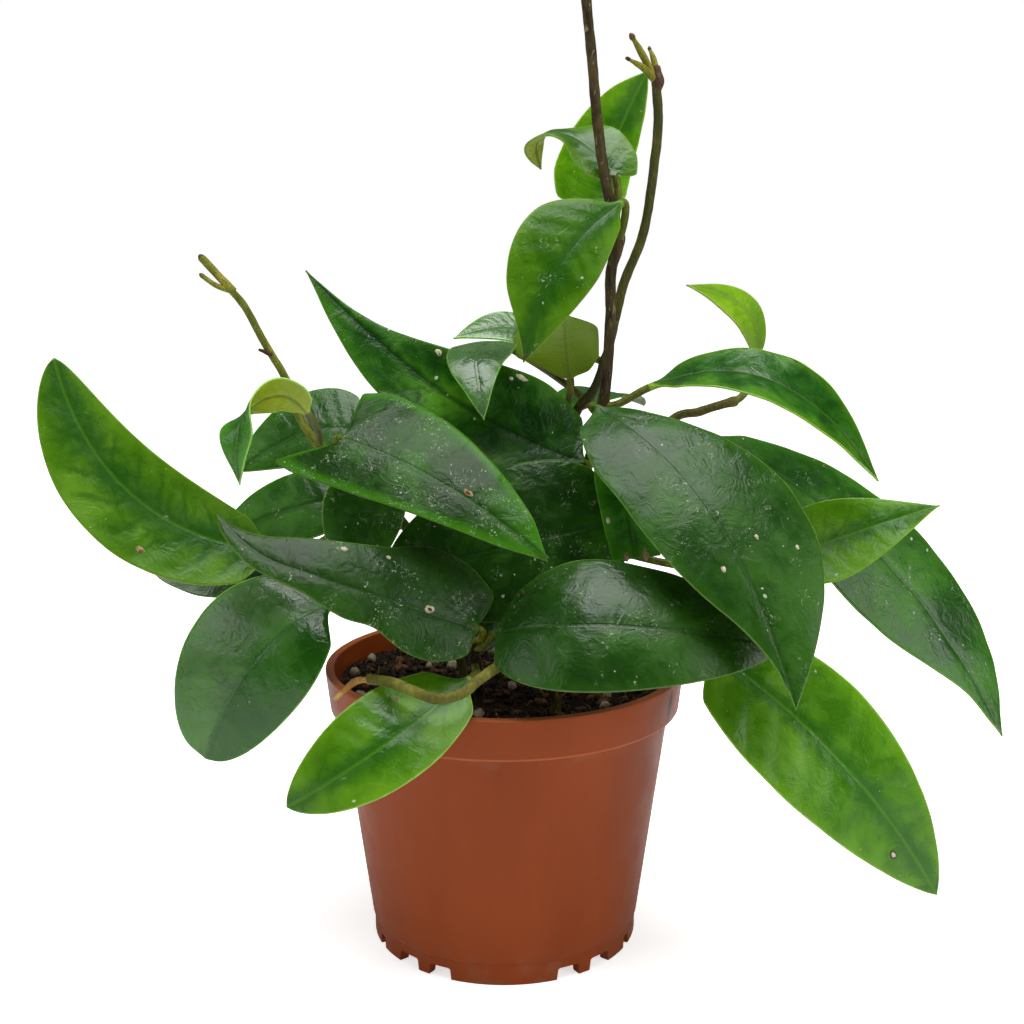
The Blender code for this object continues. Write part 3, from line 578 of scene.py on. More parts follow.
# Each leaf: finish, stem and node, midrib in millimetres, half widths, and the way its face turns.
leaves = {
    "leaf_far_left": {
        "finish": "fresh", "quilt": 0.12,
        "look": {"shade": 0.82, "zone": 8.0, "zoneShare": 0.9, "glowFrom": 0.85, "scratches": 0.2,
                 "veins": 0.7},
        "at": ("stem_shoot", 2), "rib": [(-70, -24, 137), (-113, -32, 156), (-138, -24, 198)],
        "half": (18, 14.5), "faces": [(0.1, -0.8, 0.6), (0.3, -0.9, 0.2)], "cup": 14, "taper": 0.65,
    },
    "leaf_low_left": {
        "finish": "waxy",
        "look": {"shade": 2.2, "gloss": 0.5, "specks": 0.4, "scratches": 0.2, "bloom": 0.45,
                 "darkSide": (-0.03, 0.05), "darkShare": 0.6, "bloomSide": (-0.05, 0.15)},
        "at": ("stem_shoot", 1), "rib": [(-56, -16, 117), (-79, -24, 102), (-98, -18, 66)],
        "half": (20, 26), "faces": [(-0.2, -0.8, 0.6), (-0.2, -1.0, 0.1)], "cup": -12, "taper": 0.5,
    },
    "leaf_left_under": {
        "finish": "waxy", "look": {"shade": 0.6},
        "at": ("stem_shoot", 1.6), "rib": [(-60, 2, 134), (-92, 4, 124), (-117, 0, 125)],
        "half": (13, 9), "faces": [(0.1, -0.5, 0.8), (0.1, -0.5, 0.8)], "cup": 10,
    },
    "leaf_front_hooked": {
        "finish": "waxy",
        "look": {"shade": 0.62, "gloss": 0.15, "bloom": 0.08, "patches": 0.8, "specks": 0.7},
        "at": ("stem_front", 2),
        "rib": [(-7.5, -49, 119), (-33, -57, 130), (-54, -60, 138), (-71, -57, 144), (-85, -48, 154)],
        "half": (13, 21), "faces": [(-0.1, -0.8, 0.6), (0.2, -0.7, 0.7)], "cup": -14, "neck": 0.04,
        "heart": (3, 9),
        "leftOutline": [(0, 0.3), (0.06, 0.9), (0.14, 1.12), (0.24, 1.0), (0.3, 0.84), (0.38, 0.78),
                        (0.5, 0.5), (0.6, 0.42), (0.8, 0.33), (0.92, 0.2)],
        "rightOutline": [(0, 0.3), (0.04, 0.62), (0.09, 0.94), (0.15, 1.08), (0.22, 1.07), (0.3, 0.82),
                         (0.44, 0.68), (0.56, 0.58), (0.69, 0.46), (0.8, 0.27), (0.9, 0.1)],
        "notch": (0.29, 0.26),
    },
    "leaf_centre": {
        "finish": "waxy",
        "look": {"shade": 0.6, "gloss": 0.14, "specks": 0.5, "scratches": 1.6, "patches": 0.5,
                 "glow": 0.9, "glowFrom": 0.6, "bright": (0.055, 0.25, 0.003)},
        "at": ("stem_shoot", 2.7), "rib": [(-49, -31, 174), (-17, -45, 162), (13, -54, 141)],
        "half": (23, 17), "faces": [(0.1, -0.75, 0.65), (0.2, -0.8, 0.5)], "cup": -12, "neck": 0.03,
        "heart": (8, 21),
        "outline": [(0, 0.8), (0.1, 1.0), (0.3, 0.94), (0.5, 0.76), (0.7, 0.54), (0.85, 0.33)],
    },
    "leaf_upper_left": {
        "finish": "deep",
        "look": {"shade": 0.95, "ribLine": 0.0, "patches": 1.0, "bright": (0.055, 0.2, 0.001)},
        "at": ("stem_tall", 1.85), "rib": [(26, -8, 163), (-20, -8, 186), (-63, -3, 224)],
        "half": (18, 20), "faces": [(0.1, -0.8, 0.6), (0.4, -0.9, 0.2)], "cup": 10, "neck": 0.05,
        "leftOutline": [(0, 0.5), (0.12, 0.75), (0.3, 0.84), (0.5, 0.86), (0.7, 0.68), (0.85, 0.36),
                        (0.94, 0.12)],
        "rightOutline": [(0, 0.6), (0.1, 0.88), (0.2, 1.06), (0.3, 1.04), (0.45, 0.87), (0.6, 0.58),
                         (0.75, 0.24), (0.85, 0.1), (0.93, 0.05)],
    },
    "leaf_small_front": {
        "finish": "waxy", "look": {"shade": 1.35, "gloss": 0.5, "bloom": 0.3},
        "at": ("stem_budding", 3.6),
        "rib": [(-0.5, 16, 199), (-4.7, 2, 200.5), (-8.5, -18, 198), (-7.5, -28, 190), (-6, -31, 180)],
        "half": (10.5, 10.5),
        "faces": [(0.0, -0.1, 1.0), (0.0, -0.2, 1.0), (0.0, -0.8, 0.6), (0.0, -1.0, 0.2)], "cup": -10,
        "leftOutline": [(0, 0.3), (0.2, 0.8), (0.4, 0.95), (0.6, 0.75), (0.75, 0.42), (0.9, 0.2)],
        "rightOutline": [(0, 0.3), (0.2, 0.8), (0.4, 1.0), (0.6, 0.8), (0.75, 0.5), (0.9, 0.22)],
    },
    "leaf_behind_small": {
        "finish": "waxy", "look": {"shade": 3.0, "gloss": 0.6, "bloom": 0.7},
        "at": ("stem_budding", 5), "rib": [(9, 28, 202), (-3, 25, 204), (-17, 17, 201)],
        "half": (8, 8), "faces": [(0.0, -0.6, 0.8), (0.0, -0.6, 0.8)], "cup": 6, "taper": 1.1,
    },
    "leaf_upper_front": {
        "finish": "fresh", "quilt": 0.1,
        "look": {"shade": 0.8, "gloss": 0.17, "ribLine": 0.0, "scratches": 0.8},
        "at": ("stem_tall", 6), "rib": [(37, -6, 245), (17, -22, 226), (6, -27, 197)],
        "half": (12.5, 16.5), "faces": [(0.1, -0.9, 0.4), (0.1, -1.0, 0.1)], "cup": -8,
        "leftOutline": [(0, 0.25), (0.1, 0.48), (0.2, 0.7), (0.31, 0.88), (0.44, 0.98), (0.56, 0.94),
                        (0.7, 0.8), (0.8, 0.6), (0.9, 0.36)],
        "rightOutline": [(0, 0.1), (0.1, 0.3), (0.2, 0.7), (0.31, 0.98), (0.44, 1.03), (0.56, 0.94),
                         (0.7, 0.72), (0.8, 0.4), (0.9, 0.16)],
    },
    "leaf_cupped": {
        "finish": "pale", "quilt": 0.02,
        "look": {"shade": 0.54, "patches": 1.0, "veins": 0.05, "underVeins": 0.06,
                 "under": (0.19, 0.3, 0.005), "deep": (0.015, 0.04, 0.001)},
        "at": ("stem_budding", 3), "rib": [(21.5, 3, 189), (20, 6, 199), (20, 14, 209)],
        "half": (10.7, 17.5), "faces": [(0.0, 1.0, -0.1), (0.0, 0.9, 0.5)], "cup": 12, "neck": 0.06,
        "leftOutline": [(0, 0.4), (0.1, 0.7), (0.3, 1.0), (0.6, 1.05), (0.85, 1.05), (0.94, 0.9)],
        "rightOutline": [(0, 0.1), (0.1, 0.25), (0.2, 0.4), (0.31, 0.6), (0.44, 0.95), (0.6, 1.0),
                         (0.75, 0.95), (0.92, 0.6)],
    },
    "leaf_curled": {
        "finish": "fresh",
        "look": {"shade": 0.75, "gloss": 0.4, "underVeins": 0.1, "under": (0.8, 0.9, 0.15)},
        "at": ("stem_tall", 6),
        "rib": [(35, 1, 253), (30, 4, 260), (23, 7, 265), (15, 9, 267), (10, 13, 264), (12, 14, 256)],
        "half": (9, 12),
        "faces": [(0.2, -0.9, 0.4), (0.1, -0.8, 0.6), (-0.2, -0.3, 1.0), (-0.8, 0.4, 0.5),
                  (-0.7, 0.7, 0.1)],
        "cup": 10, "neck": 0.05, "heart": (1, 5),
        "leftOutline": [(0, 0.4), (0.12, 0.9), (0.3, 1.0), (0.45, 0.7), (0.65, 0.6), (0.85, 0.6),
                        (0.94, 0.3)],
        "rightOutline": [(0, 0.4), (0.12, 0.85), (0.3, 1.0), (0.42, 0.8), (0.55, 0.4), (0.7, 0.45),
                         (0.85, 0.45), (0.94, 0.2)],
    },
    "leaf_upper_rear": {
        "finish": "fresh", "look": {"shade": 1.55, "patches": 1.0},
        "at": ("stem_tall", 5.6), "rib": [(33, 16, 243), (35.5, 22, 262), (46.5, 17, 287)],
        "half": (17.5, 8), "faces": [(0.0, -0.9, 0.3), (0.0, -1.0, 0.2)], "cup": 8,
        "leftOutline": [(0, 0.5), (0.12, 0.9), (0.3, 1.0), (0.5, 0.9), (0.7, 0.7), (0.85, 0.46),
                        (0.94, 0.2)],
        "rightOutline": [(0, 0.5), (0.12, 0.9), (0.3, 1.0), (0.6, 0.95), (0.8, 0.7), (0.92, 0.36)],
    },
    "leaf_small_right": {
        "finish": "pale", "look": {"shade": 0.95},
        "at": ("stem_right", 5), "rib": [(84, 16, 194), (79.5, 12, 210), (59, 5, 219)],
        "half": (9, 7), "faces": [(0.5, -0.8, 0.4), (0.3, -0.7, 0.7)], "cup": 8,
        "outline": [(0, 0.15), (0.1, 0.35), (0.2, 0.6), (0.31, 0.8), (0.44, 1.0), (0.56, 1.0),
                    (0.7, 0.82), (0.8, 0.56), (0.9, 0.28)],
    },
    "leaf_arching": {
        "finish": "deep",
        "look": {"shade": 1.3, "gloss": 0.34, "patches": 0.9, "bright": (0.06, 0.17, 0.001),
                 "rim": (0.18, 0.32, 0.02), "rimShare": 0.9},
        "at": ("stem_tall", 3), "rib": [(46, -7, 187), (84, -16, 190), (116, -26, 160)],
        "half": (14, 13), "faces": [(0.0, -0.3, 0.9), (0.6, -0.6, 0.4)], "cup": 12,
        "leftOutline": [(0, 0.2), (0.1, 0.5), (0.2, 0.76), (0.31, 0.94), (0.44, 1.02), (0.56, 1.06),
                        (0.7, 0.94), (0.8, 0.66), (0.9, 0.34)],
        "rightOutline": [(0, 0.2), (0.1, 0.55), (0.2, 0.82), (0.31, 0.97), (0.44, 1.0), (0.56, 0.94),
                         (0.7, 0.78), (0.8, 0.56), (0.9, 0.3)],
    },
    "leaf_big_front": {
        "finish": "waxy", "look": {"shade": 0.95, "gloss": 0.2, "bloom": 0.08},
        "at": ("stem_right", 2.5), "rib": [(29, -18, 182), (61, -51, 155), (83, -76, 103)],
        "half": (29, 21), "faces": [(0.2, -0.7, 0.7), (0.2, -1.0, 0.2)], "cup": -14, "neck": 0.04,
        "leftOutline": [(0, 0.05), (0.1, 0.28), (0.3, 0.7), (0.5, 1.0), (0.68, 0.93), (0.8, 0.68),
                        (0.9, 0.36)],
        "rightOutline": [(0, 0.42), (0.1, 0.76), (0.2, 0.95), (0.44, 1.0), (0.57, 0.92), (0.7, 0.7),
                         (0.8, 0.36), (0.9, 0.1)],
    },
    "leaf_drooping": {
        "finish": "waxy", "look": {"shade": 1.45, "gloss": 0.34, "patches": 1.0},
        "at": ("stem_right", 3), "rib": [(64, 12, 170), (122, 5, 133), (166, -10, 71)],
        "half": (21, 20), "faces": [(0.3, -0.6, 0.7), (0.5, -0.8, 0.3)], "cup": -6,
        "leftOutline": [(0, 0.05), (0.1, 0.36), (0.2, 0.57), (0.31, 0.8), (0.44, 0.98), (0.56, 1.05),
                        (0.7, 1.0), (0.8, 0.86), (0.9, 0.52)],
        "rightOutline": [(0, 0.05), (0.1, 0.5), (0.2, 0.78), (0.31, 0.95), (0.44, 1.08), (0.56, 1.15),
                         (0.7, 0.98), (0.8, 0.6), (0.9, 0.2)],
    },
    "leaf_pointing_right": {
        "finish": "fresh", "look": {"shade": 1.05},
        "at": ("stem_right", 1.4), "rib": [(88, -14, 132), (114, -15, 142), (138, -19, 151)],
        "half": (14, 14), "faces": [(0.0, -0.8, 0.6), (0.0, -0.7, 0.7)], "cup": 10, "taper": 1.2,
    },
    "leaf_low_right": {
        "finish": "fresh", "quilt": 0.14,
        "look": {"shade": 1.28, "gloss": 0.3, "veins": 0.2, "rimShare": 0.9, "rim": (0.24, 0.4, 0.06)},
        "at": ("stem_right", 1), "rib": [(62, -30, 109), (102, -48, 78), (137, -42, 30)],
        "half": (20, 22), "faces": [(0.2, -0.8, 0.6), (0.2, -1.0, 0.1)], "cup": 8,
    },
    "leaf_front_oval": {
        "finish": "waxy", "look": {"shade": 0.85, "gloss": 0.27},
        "at": ("stem_front", 1.6), "rib": [(-2.5, -48, 117.5), (32, -63, 124), (82, -52, 115)],
        "half": (23.5, 20), "faces": [(0.0, -0.75, 0.65), (0.1, -0.8, 0.6)], "cup": -18, "neck": 0.04,
        "round": 0.4, "taper": 0.6,
    },
    "leaf_over_rim": {
        "finish": "fresh", "quilt": 0.12,
        "look": {"shade": 1.02, "gloss": 0.3, "veins": 0.2, "rimShare": 0.9, "rim": (0.3, 0.45, 0.08)},
        "at": ("stem_front", 1), "rib": [(-10, -50, 104), (-36, -70, 89), (-63, -72, 72)],
        "half": (13.2, 15.8), "faces": [(-0.1, -0.7, 0.7), (0.0, -1.0, 0.3)], "cup": 6, "round": 0.5,
        "taper": 0.7,
    },
    "leaf_dark_centre": {
        "finish": "waxy",
        "look": {"shade": 0.7, "bloom": 0.02, "patches": 1.0, "bright": (0.03, 0.15, 0.002)},
        "at": ("stem_right", 1.5), "rib": [(40, -19.5, 147), (5, -28.5, 140.5), (-37, -25.5, 130)],
        "half": (24, 25.8), "faces": [(0.0, -0.9, 0.3), (0.0, -0.9, 0.4)], "cup": -8, "round": 0.4,
        "taper": 0.5,
    },
    "leaf_torn": {
        "finish": "deep", "look": {"shade": 1.2, "patches": 1.0, "bright": (0.04, 0.2, 0.002)},
        "at": ("stem_right", 2.2), "rib": [(35, -22, 172), (38, -29, 155), (41, -32, 137)],
        "half": (9, 9), "faces": [(-0.2, -1.0, 0.3), (-0.2, -1.0, 0.2)], "cup": 12, "neck": 0.06,
        "outline": [(0, 0.8), (0.3, 1.0), (0.7, 0.95), (0.96, 0.85)],
    },
    "leaf_left_middle": {
        "finish": "waxy", "look": {"shade": 1.25, "patches": 1.0},
        "at": ("stem_shoot", 2.3), "rib": [(-50, -6, 150), (-68, -7, 148), (-94, -4, 137)],
        "half": (12, 13), "faces": [(0.0, -0.8, 0.6), (0.0, -0.8, 0.6)], "cup": -6, "taper": 0.6,
    },
    "leaf_left_inner": {
        "finish": "waxy", "look": {"shade": 1.3},
        "at": ("stem_shoot", 2), "rib": [(-37, -24, 160), (-41, -28, 147), (-48, -30, 124)],
        "half": (9, 17), "faces": [(0.0, -1.0, 0.3), (0.0, -1.0, 0.2)], "cup": -6,
    },
    "leaf_dark_low": {
        "finish": "waxy", "look": {"shade": 0.8},
        "at": ("stem_tall", 0.6), "rib": [(6, -12, 114), (-14, -17, 125), (-38, -22, 130)],
        "half": (22, 18), "faces": [(0.0, -0.8, 0.6), (0.0, -0.8, 0.6)], "cup": 6,
    },
    "leaf_left_rear": {
        "finish": "waxy", "look": {"shade": 1.2},
        "at": ("stem_shoot", 3), "rib": [(-48, 6, 171), (-67, 9, 170), (-88, 5, 158)],
        "half": (13.5, 16), "faces": [(0.0, -0.8, 0.6), (0.0, -0.8, 0.6)], "cup": -6, "round": 0.4,
        "taper": 0.8,
    },
    "leaf_twisted": {
        "finish": "waxy",
        "look": {"shade": 2.6, "underVeins": 0.1, "gloss": 0.5, "under": (0.13, 0.16, 0.005)},
        "at": ("stem_shoot", 3.3),
        "rib": [(-61, -22, 181), (-68, -25, 187), (-77, -30, 184), (-81, -33, 174), (-81, -31, 160)],
        "half": (7, 7),
        "faces": [(0.1, 0.9, 0.3), (0.0, 0.9, 0.4), (-0.8, 0.1, 0.6), (-0.5, -0.9, 0.3),
                  (-0.4, -0.9, 0.2)],
        "cup": -8, "neck": 0.06,
        "leftOutline": [(0, 0.4), (0.12, 0.8), (0.3, 0.95), (0.5, 1.0), (0.7, 0.85), (0.85, 0.5),
                        (0.94, 0.25)],
        "rightOutline": [(0, 0.4), (0.12, 0.8), (0.3, 0.95), (0.5, 1.1), (0.62, 1.3), (0.7, 1.25),
                         (0.8, 0.85), (0.9, 0.36)],
    },
    "leaf_rear_top": {
        "finish": "deep",
        "at": ("stem_rear", 3), "rib": [(16, 38, 172), (34, 48, 179), (52, 70, 172)],
        "half": (12, 12), "faces": [(0.0, -0.2, 1.0), (0.2, 0.2, 1.0)], "cup": 8,
    },
    "leaf_rear_left": {
        "finish": "deep",
        "at": ("stem_rear", 2), "rib": [(-16, 40, 150), (-42, 58, 152), (-66, 74, 134)],
        "half": (15, 15), "faces": [(-0.2, 0.3, 0.9), (-0.4, 0.7, 0.5)], "cup": 8,
    },
    "leaf_rear_right": {
        "finish": "fresh",
        "at": ("stem_rear", 1), "rib": [(10, 40, 128), (34, 66, 134), (52, 92, 112)],
        "half": (16, 16), "faces": [(0.2, 0.4, 0.9), (0.4, 0.8, 0.4)], "cup": -8,
    },
    "leaf_rear_low": {
        "finish": "deep",
        "at": ("stem_rear", 1), "rib": [(-12, 42, 122), (-28, 72, 118), (-40, 92, 86)],
        "half": (14, 14), "faces": [(-0.2, 0.5, 0.8), (-0.3, 0.9, 0.2)], "cup": 10,
    },
    "leaf_rear_middle": {
        "finish": "fresh",
        "at": ("stem_rear", 2), "rib": [(2, 46, 152), (6, 72, 158), (8, 102, 140)],
        "half": (15, 15), "faces": [(0.0, 0.2, 1.0), (0.0, 0.8, 0.5)], "cup": 8,
    },
}
leafDefaults = {"round": 0.5, "taper": 0.8, "neck": 0.12, "heart": (0, 0), "quilt": 0.06}
leaves = {name: {**leafDefaults, **leaf} for name, leaf in leaves.items()}


def makeBarkFinish(name, look):
    # Brown bark, or young green skin that turns to it; pale corky flecks and fine cracks run along it.
    material, tree, shader = newFinish(name, {"Specular IOR Level": 0.16})
    position = objectPosition(tree)
    stretched = stretchedAlong(tree, position, 0.35)
    patches = clouds(tree, stretched, 190.0, 6.0, 0.6, 0.7)
    colour = blendColour(tree, fade(tree, patches, 0.35, 0.68), *look["bark"])
    if "young" in look:
        place = plus(tree, ownValue(tree, "along"), times(tree, patches, 18.0))
        young = blendColour(tree, fade(tree, patches, 0.4, 0.7), *look["young"])
        colour = blendColour(tree, fade(tree, place, *look["turns"]), colour, young)
    flecks = fade(tree, clouds(tree, stretched, 700.0, 3.0, 1.0), 0.58, 0.68)
    colour = blendColour(tree, times(tree, flecks, look["flecks"]), colour, look["fleck"])
    rough = fade(tree, patches, 0.3, 0.7, 0.45, 0.75)
    fill(tree, shader, {"Base Color": colour, "Roughness": rough})
    height = plus(tree, clouds(tree, stretched, 900.0, 4.0), times(tree, flecks, 0.5))
    addBump(tree, shader, height, 0.8)
    return material


# Dark and light tone of the bark and of the young skin; turns is where one gives way to the other.
barkLooks = {
    "darkBark": {"bark": ((0.012, 0.008, 0.003), (0.075, 0.055, 0.018)),
                 "fleck": (0.26, 0.20, 0.11), "flecks": 0.8},
    "oliveBark": {"bark": ((0.016, 0.010, 0.005), (0.060, 0.046, 0.012)),
                  "young": ((0.045, 0.050, 0.008), (0.10, 0.10, 0.016)), "turns": (60, 150),
                  "fleck": (0.2, 0.16, 0.08), "flecks": 0.3},
    "youngBark": {"bark": ((0.035, 0.024, 0.008), (0.11, 0.08, 0.024)),
                  "young": ((0.09, 0.08, 0.014), (0.17, 0.14, 0.03)), "turns": (70, 130),
                  "fleck": (0.24, 0.18, 0.09), "flecks": 0.3},
    "greenShoot": {"bark": ((0.045, 0.04, 0.010), (0.11, 0.10, 0.02)),
                   "young": ((0.10, 0.12, 0.010), (0.20, 0.22, 0.025)), "turns": (40, 110),
                   "fleck": (0.25, 0.2, 0.1), "flecks": 0.25},
    "cutStem": {"bark": ((0.03, 0.02, 0.006), (0.09, 0.07, 0.018)),
                "young": ((0.085, 0.085, 0.010), (0.19, 0.18, 0.03)), "turns": (10, 60),
                "fleck": (0.3, 0.22, 0.1), "flecks": 0.2},
    "budGreen": {"bark": ((0.14, 0.15, 0.012), (0.26, 0.24, 0.03)),
                 "fleck": (0.3, 0.2, 0.08), "flecks": 0.2},
    "swollenNode": {"bark": ((0.04, 0.022, 0.014), (0.11, 0.055, 0.03)),
                    "fleck": (0.25, 0.2, 0.1), "flecks": 0.3},
    "dryCap": {"bark": ((0.06, 0.026, 0.010), (0.16, 0.08, 0.03)),
               "fleck": (0.3, 0.2, 0.1), "flecks": 0.4},
    "drySheath": {"bark": ((0.25, 0.12, 0.025), (0.55, 0.36, 0.12)),
                  "fleck": (0.7, 0.52, 0.25), "flecks": 0.4},
}
barkFinishes = {name: makeBarkFinish(name, look) for name, look in barkLooks.items()}

stemFinishes = {"stem_tall": "darkBark", "stem_budding": "oliveBark", "stem_shoot": "greenShoot",
                "stem_front": "oliveBark", "stem_cut": "cutStem", "stem_right": "youngBark",
                "stem_rear": "oliveBark"}
twigFinishes = {"stem_budding": ["swollenNode", "budGreen", "budGreen", "budGreen"],
                "stem_shoot": ["budGreen", "budGreen", "swollenNode"], "stem_cut": ["drySheath"]}
stemDetail = {"buried": (12, 2), "perSpan": 14, "sides": 20, "bark": 0.10, "swelling": 0.35,
              "swellReach": 2.2, "twigSpan": 10, "twigSides": 16, "twigBark": 0.08}
# Dry brown scales cap the buds and the forked end of the young stem: stem, twig, size in millimetres.
budCaps = [("stem_budding", 1, 0.95), ("stem_budding", 2, 0.65), ("stem_budding", 3, 0.65),
           ("stem_shoot", 0, 1.2), ("stem_shoot", 1, 0.75)]


def addTube(name, spots, radii, sides, bark, roundTip, finish, replaced=()):
    bm = bmesh.new()
    wrapTube(bm, spots, radii, sides, bark, roundTip)
    addPiece(name, closeShape(bm), barkFinishes[finish], replaced)


def makeStem(name, stem):
    x, y, _ = stem["nodes"][0]
    points = [(x, y, soil["level"] - depth) for depth in stemDetail["buried"]] + stem["nodes"]
    route = smoothRoute(points, stemDetail["perSpan"])
    joints = [leaf["at"][1] for leaf in leaves.values() if leaf["at"][0] == name]
    radii = []
    for index in range(len(route)):
        radius = stemRadius(stem, index / (len(route) - 1))
        # Stems swell where a leaf stalk leaves them.
        for joint in joints:
            gap = (alongPoints(stem["nodes"], joint) - route[index]).length
            radius += stemDetail["swelling"] * math.exp(-(gap / stemDetail["swellReach"]) ** 2)
        radii.append(radius)
    if name == "stem_tall":
        # Its rounded end takes the last millimetre of the stem.
        route, radii = route[:-1], radii[:-1]
    plain = name.replace("_", "")
    addTube(plain + "Bark", route, radii, stemDetail["sides"], stemDetail["bark"], name != "stem_cut",
            stemFinishes[name], [name])
    for number, (sizes, spots) in enumerate(stem.get("twigs", [])):
        twig = smoothRoute(spots, stemDetail["twigSpan"])
        last = len(twig) - 1
        widths = [between(sizes, index * (len(sizes) - 1) / last) for index in range(last + 1)]
        addTube(plain + "Twig" + str(number + 1), twig, widths, stemDetail["twigSides"],
                stemDetail["twigBark"], True, twigFinishes[name][number])


def makeCaps():
    bm = bmesh.new()
    for name, number, size in budCaps:
        spots = stems[name]["twigs"][number][1]
        end = Vector(spots[-1])
        follow = (end - Vector(spots[-2])).normalized()
        turn = follow.to_track_quat("Z", "Y").to_matrix()
        for vert in bmesh.ops.create_icosphere(bm, subdivisions=2, radius=size)["verts"]:
            ragged = 1.0 + 0.25 * noise.noise(vert.co * 2.0 + end)
            long = Vector((vert.co.x, vert.co.y, vert.co.z * 1.5))
            vert.co = (end - follow * 0.2 + turn @ long * ragged) * mm
    addPiece("budCaps", bm, barkFinishes["dryCap"])


for name, stem in stems.items():
    makeStem(name, stem)
makeCaps()
print("stems made")


def widthAt(leaf, share, right):
    # Share of the half width on one side, for a share of the way from the base to the tip.
    points = leaf.get("rightOutline" if right else "leftOutline", leaf.get("outline"))
    if points:
        last = points[-1]
        points = (*points, (1.0, 0.0 if last[0] < 0.95 else last[1]))
        for (start, low), (end, high) in zip(points, points[1:]):
            if share <= end:
                return low + (high - low) * (share - start) / (end - start)
    rounding, taper = leaf["round"], leaf["taper"]
    widest = rounding / (rounding + taper)
    peak = widest ** rounding * (1 - widest) ** taper
    return max(share, 0) ** rounding * max(1 - share, 0) ** taper / peak


def ribPoint(points, share):
    # A spot on the midrib: parabolas through neighbouring points, blended.
    place = share * (len(points) - 1)
    index = min(int(place), len(points) - 2)
    arcs = []
    for first in (index - 1, index):
        if 0 <= first <= len(points) - 3:
            start, middle, end = (Vector(point) for point in points[first:first + 3])
            u = place - first
            arcs.append(start * (u - 1) * (u - 2) / 2 - middle * u * (u - 2) + end * u * (u - 1) / 2)
    return arcs[0].lerp(arcs[-1], place - index)


def faceAt(leaf, share):
    faces = leaf["faces"]
    return alongPoints(faces, max(share, 0) * (len(faces) - 1))


def stalkStart(leaf):
    name, place = leaf["at"]
    stem = stems[name]
    last = len(stem["nodes"]) - 1
    spot = alongPoints(stem["nodes"], place)
    axis = (spot - alongPoints(stem["nodes"], place - 0.1)).normalized()
    if place == last:
        return spot - axis * 0.5, axis
    towards = Vector(leaf["rib"][0]) - spot
    towards = (towards - axis * towards.dot(axis)).normalized()
    return spot + towards * 0.5, towards


leafDetail = {"rows": 84, "stalkRows": 18, "columns": 28, "thick": 1.15, "margin": 0.5, "stalk": 1.25,
              "groove": 0.3, "grooveWidth": 1.1, "keel": 0.7, "keelWidth": 1.0, "veins": 9.0,
              "slant": 1.4, "lumps": 0.5, "lumpScale": 0.06, "ruffle": 0.35, "ruffleScale": 0.11,
              "outlinePasses": 12, "plainPasses": 2, "leastWidth": 0.25, "notchReach": 0.045,
              "nearby": 0.02, "crowding": 1.2}
leafRow = namedtuple("leafRow", "centre follow side normal share left right")


def smoothed(values, passes):
    for _ in range(passes):
        values = [values[0]] + [(values[i - 1] + 2 * values[i] + values[i + 1]) / 4
                                for i in range(1, len(values) - 1)] + [values[-1]]
    return values


def leafRows(leaf):
    # Rows from the stem to the tip; the share along the blade is negative on the stalk.
    rib = leaf["rib"]
    base = ribPoint(rib, 0)
    start, towards = stalkStart(leaf)
    reach = (base - start).length / 3
    into = (ribPoint(rib, 0.05) - base).normalized()
    stalkCount = leafDetail["stalkRows"]
    handles = (start + towards * reach, base - into * reach)
    stalk = interpolate_bezier(start, *handles, base, stalkCount + 1)
    line = []
    for index, spot in enumerate(stalk[:-1]):
        follow = towards if index == 0 else (stalk[index + 1] - spot).normalized()
        line.append((spot, follow, index / stalkCount - 1))
    count = leafDetail["rows"]
    for index in range(count + 1):
        share = (1 - math.cos(math.pi * index / count)) / 2
        share = 0.5 * share + 0.5 * index / count
        before = ribPoint(rib, max(share - leafDetail["nearby"], 0))
        after = ribPoint(rib, min(share + leafDetail["nearby"], 1))
        line.append((ribPoint(rib, share), (after - before).normalized(), share))
    widths = []
    for right in (False, True):
        half = leaf["half"][1 if right else 0]
        blade = [half * widthAt(leaf, share, right) for _, _, share in line[stalkCount:]]
        if "notch" in leaf and not right:
            middle, depth = leaf["notch"]
            blade = [width * (1 - depth * math.exp(-((share - middle) / leafDetail["notchReach"]) ** 2))
                     for width, (_, _, share) in zip(blade, line[stalkCount:])]
        outlined = "outline" in leaf or "leftOutline" in leaf
        blade = smoothed(blade, leafDetail["outlinePasses" if outlined else "plainPasses"])
        widths.append([0.0] * stalkCount + [max(width, leafDetail["leastWidth"]) for width in blade])
    rows = []
    for index, (centre, follow, share) in enumerate(line):
        face = faceAt(leaf, share)
        normal = (face - follow * face.dot(follow)).normalized()
        rows.append(leafRow(centre, follow, follow.cross(normal), normal, share,
                            widths[0][index], widths[1][index]))
    return rows


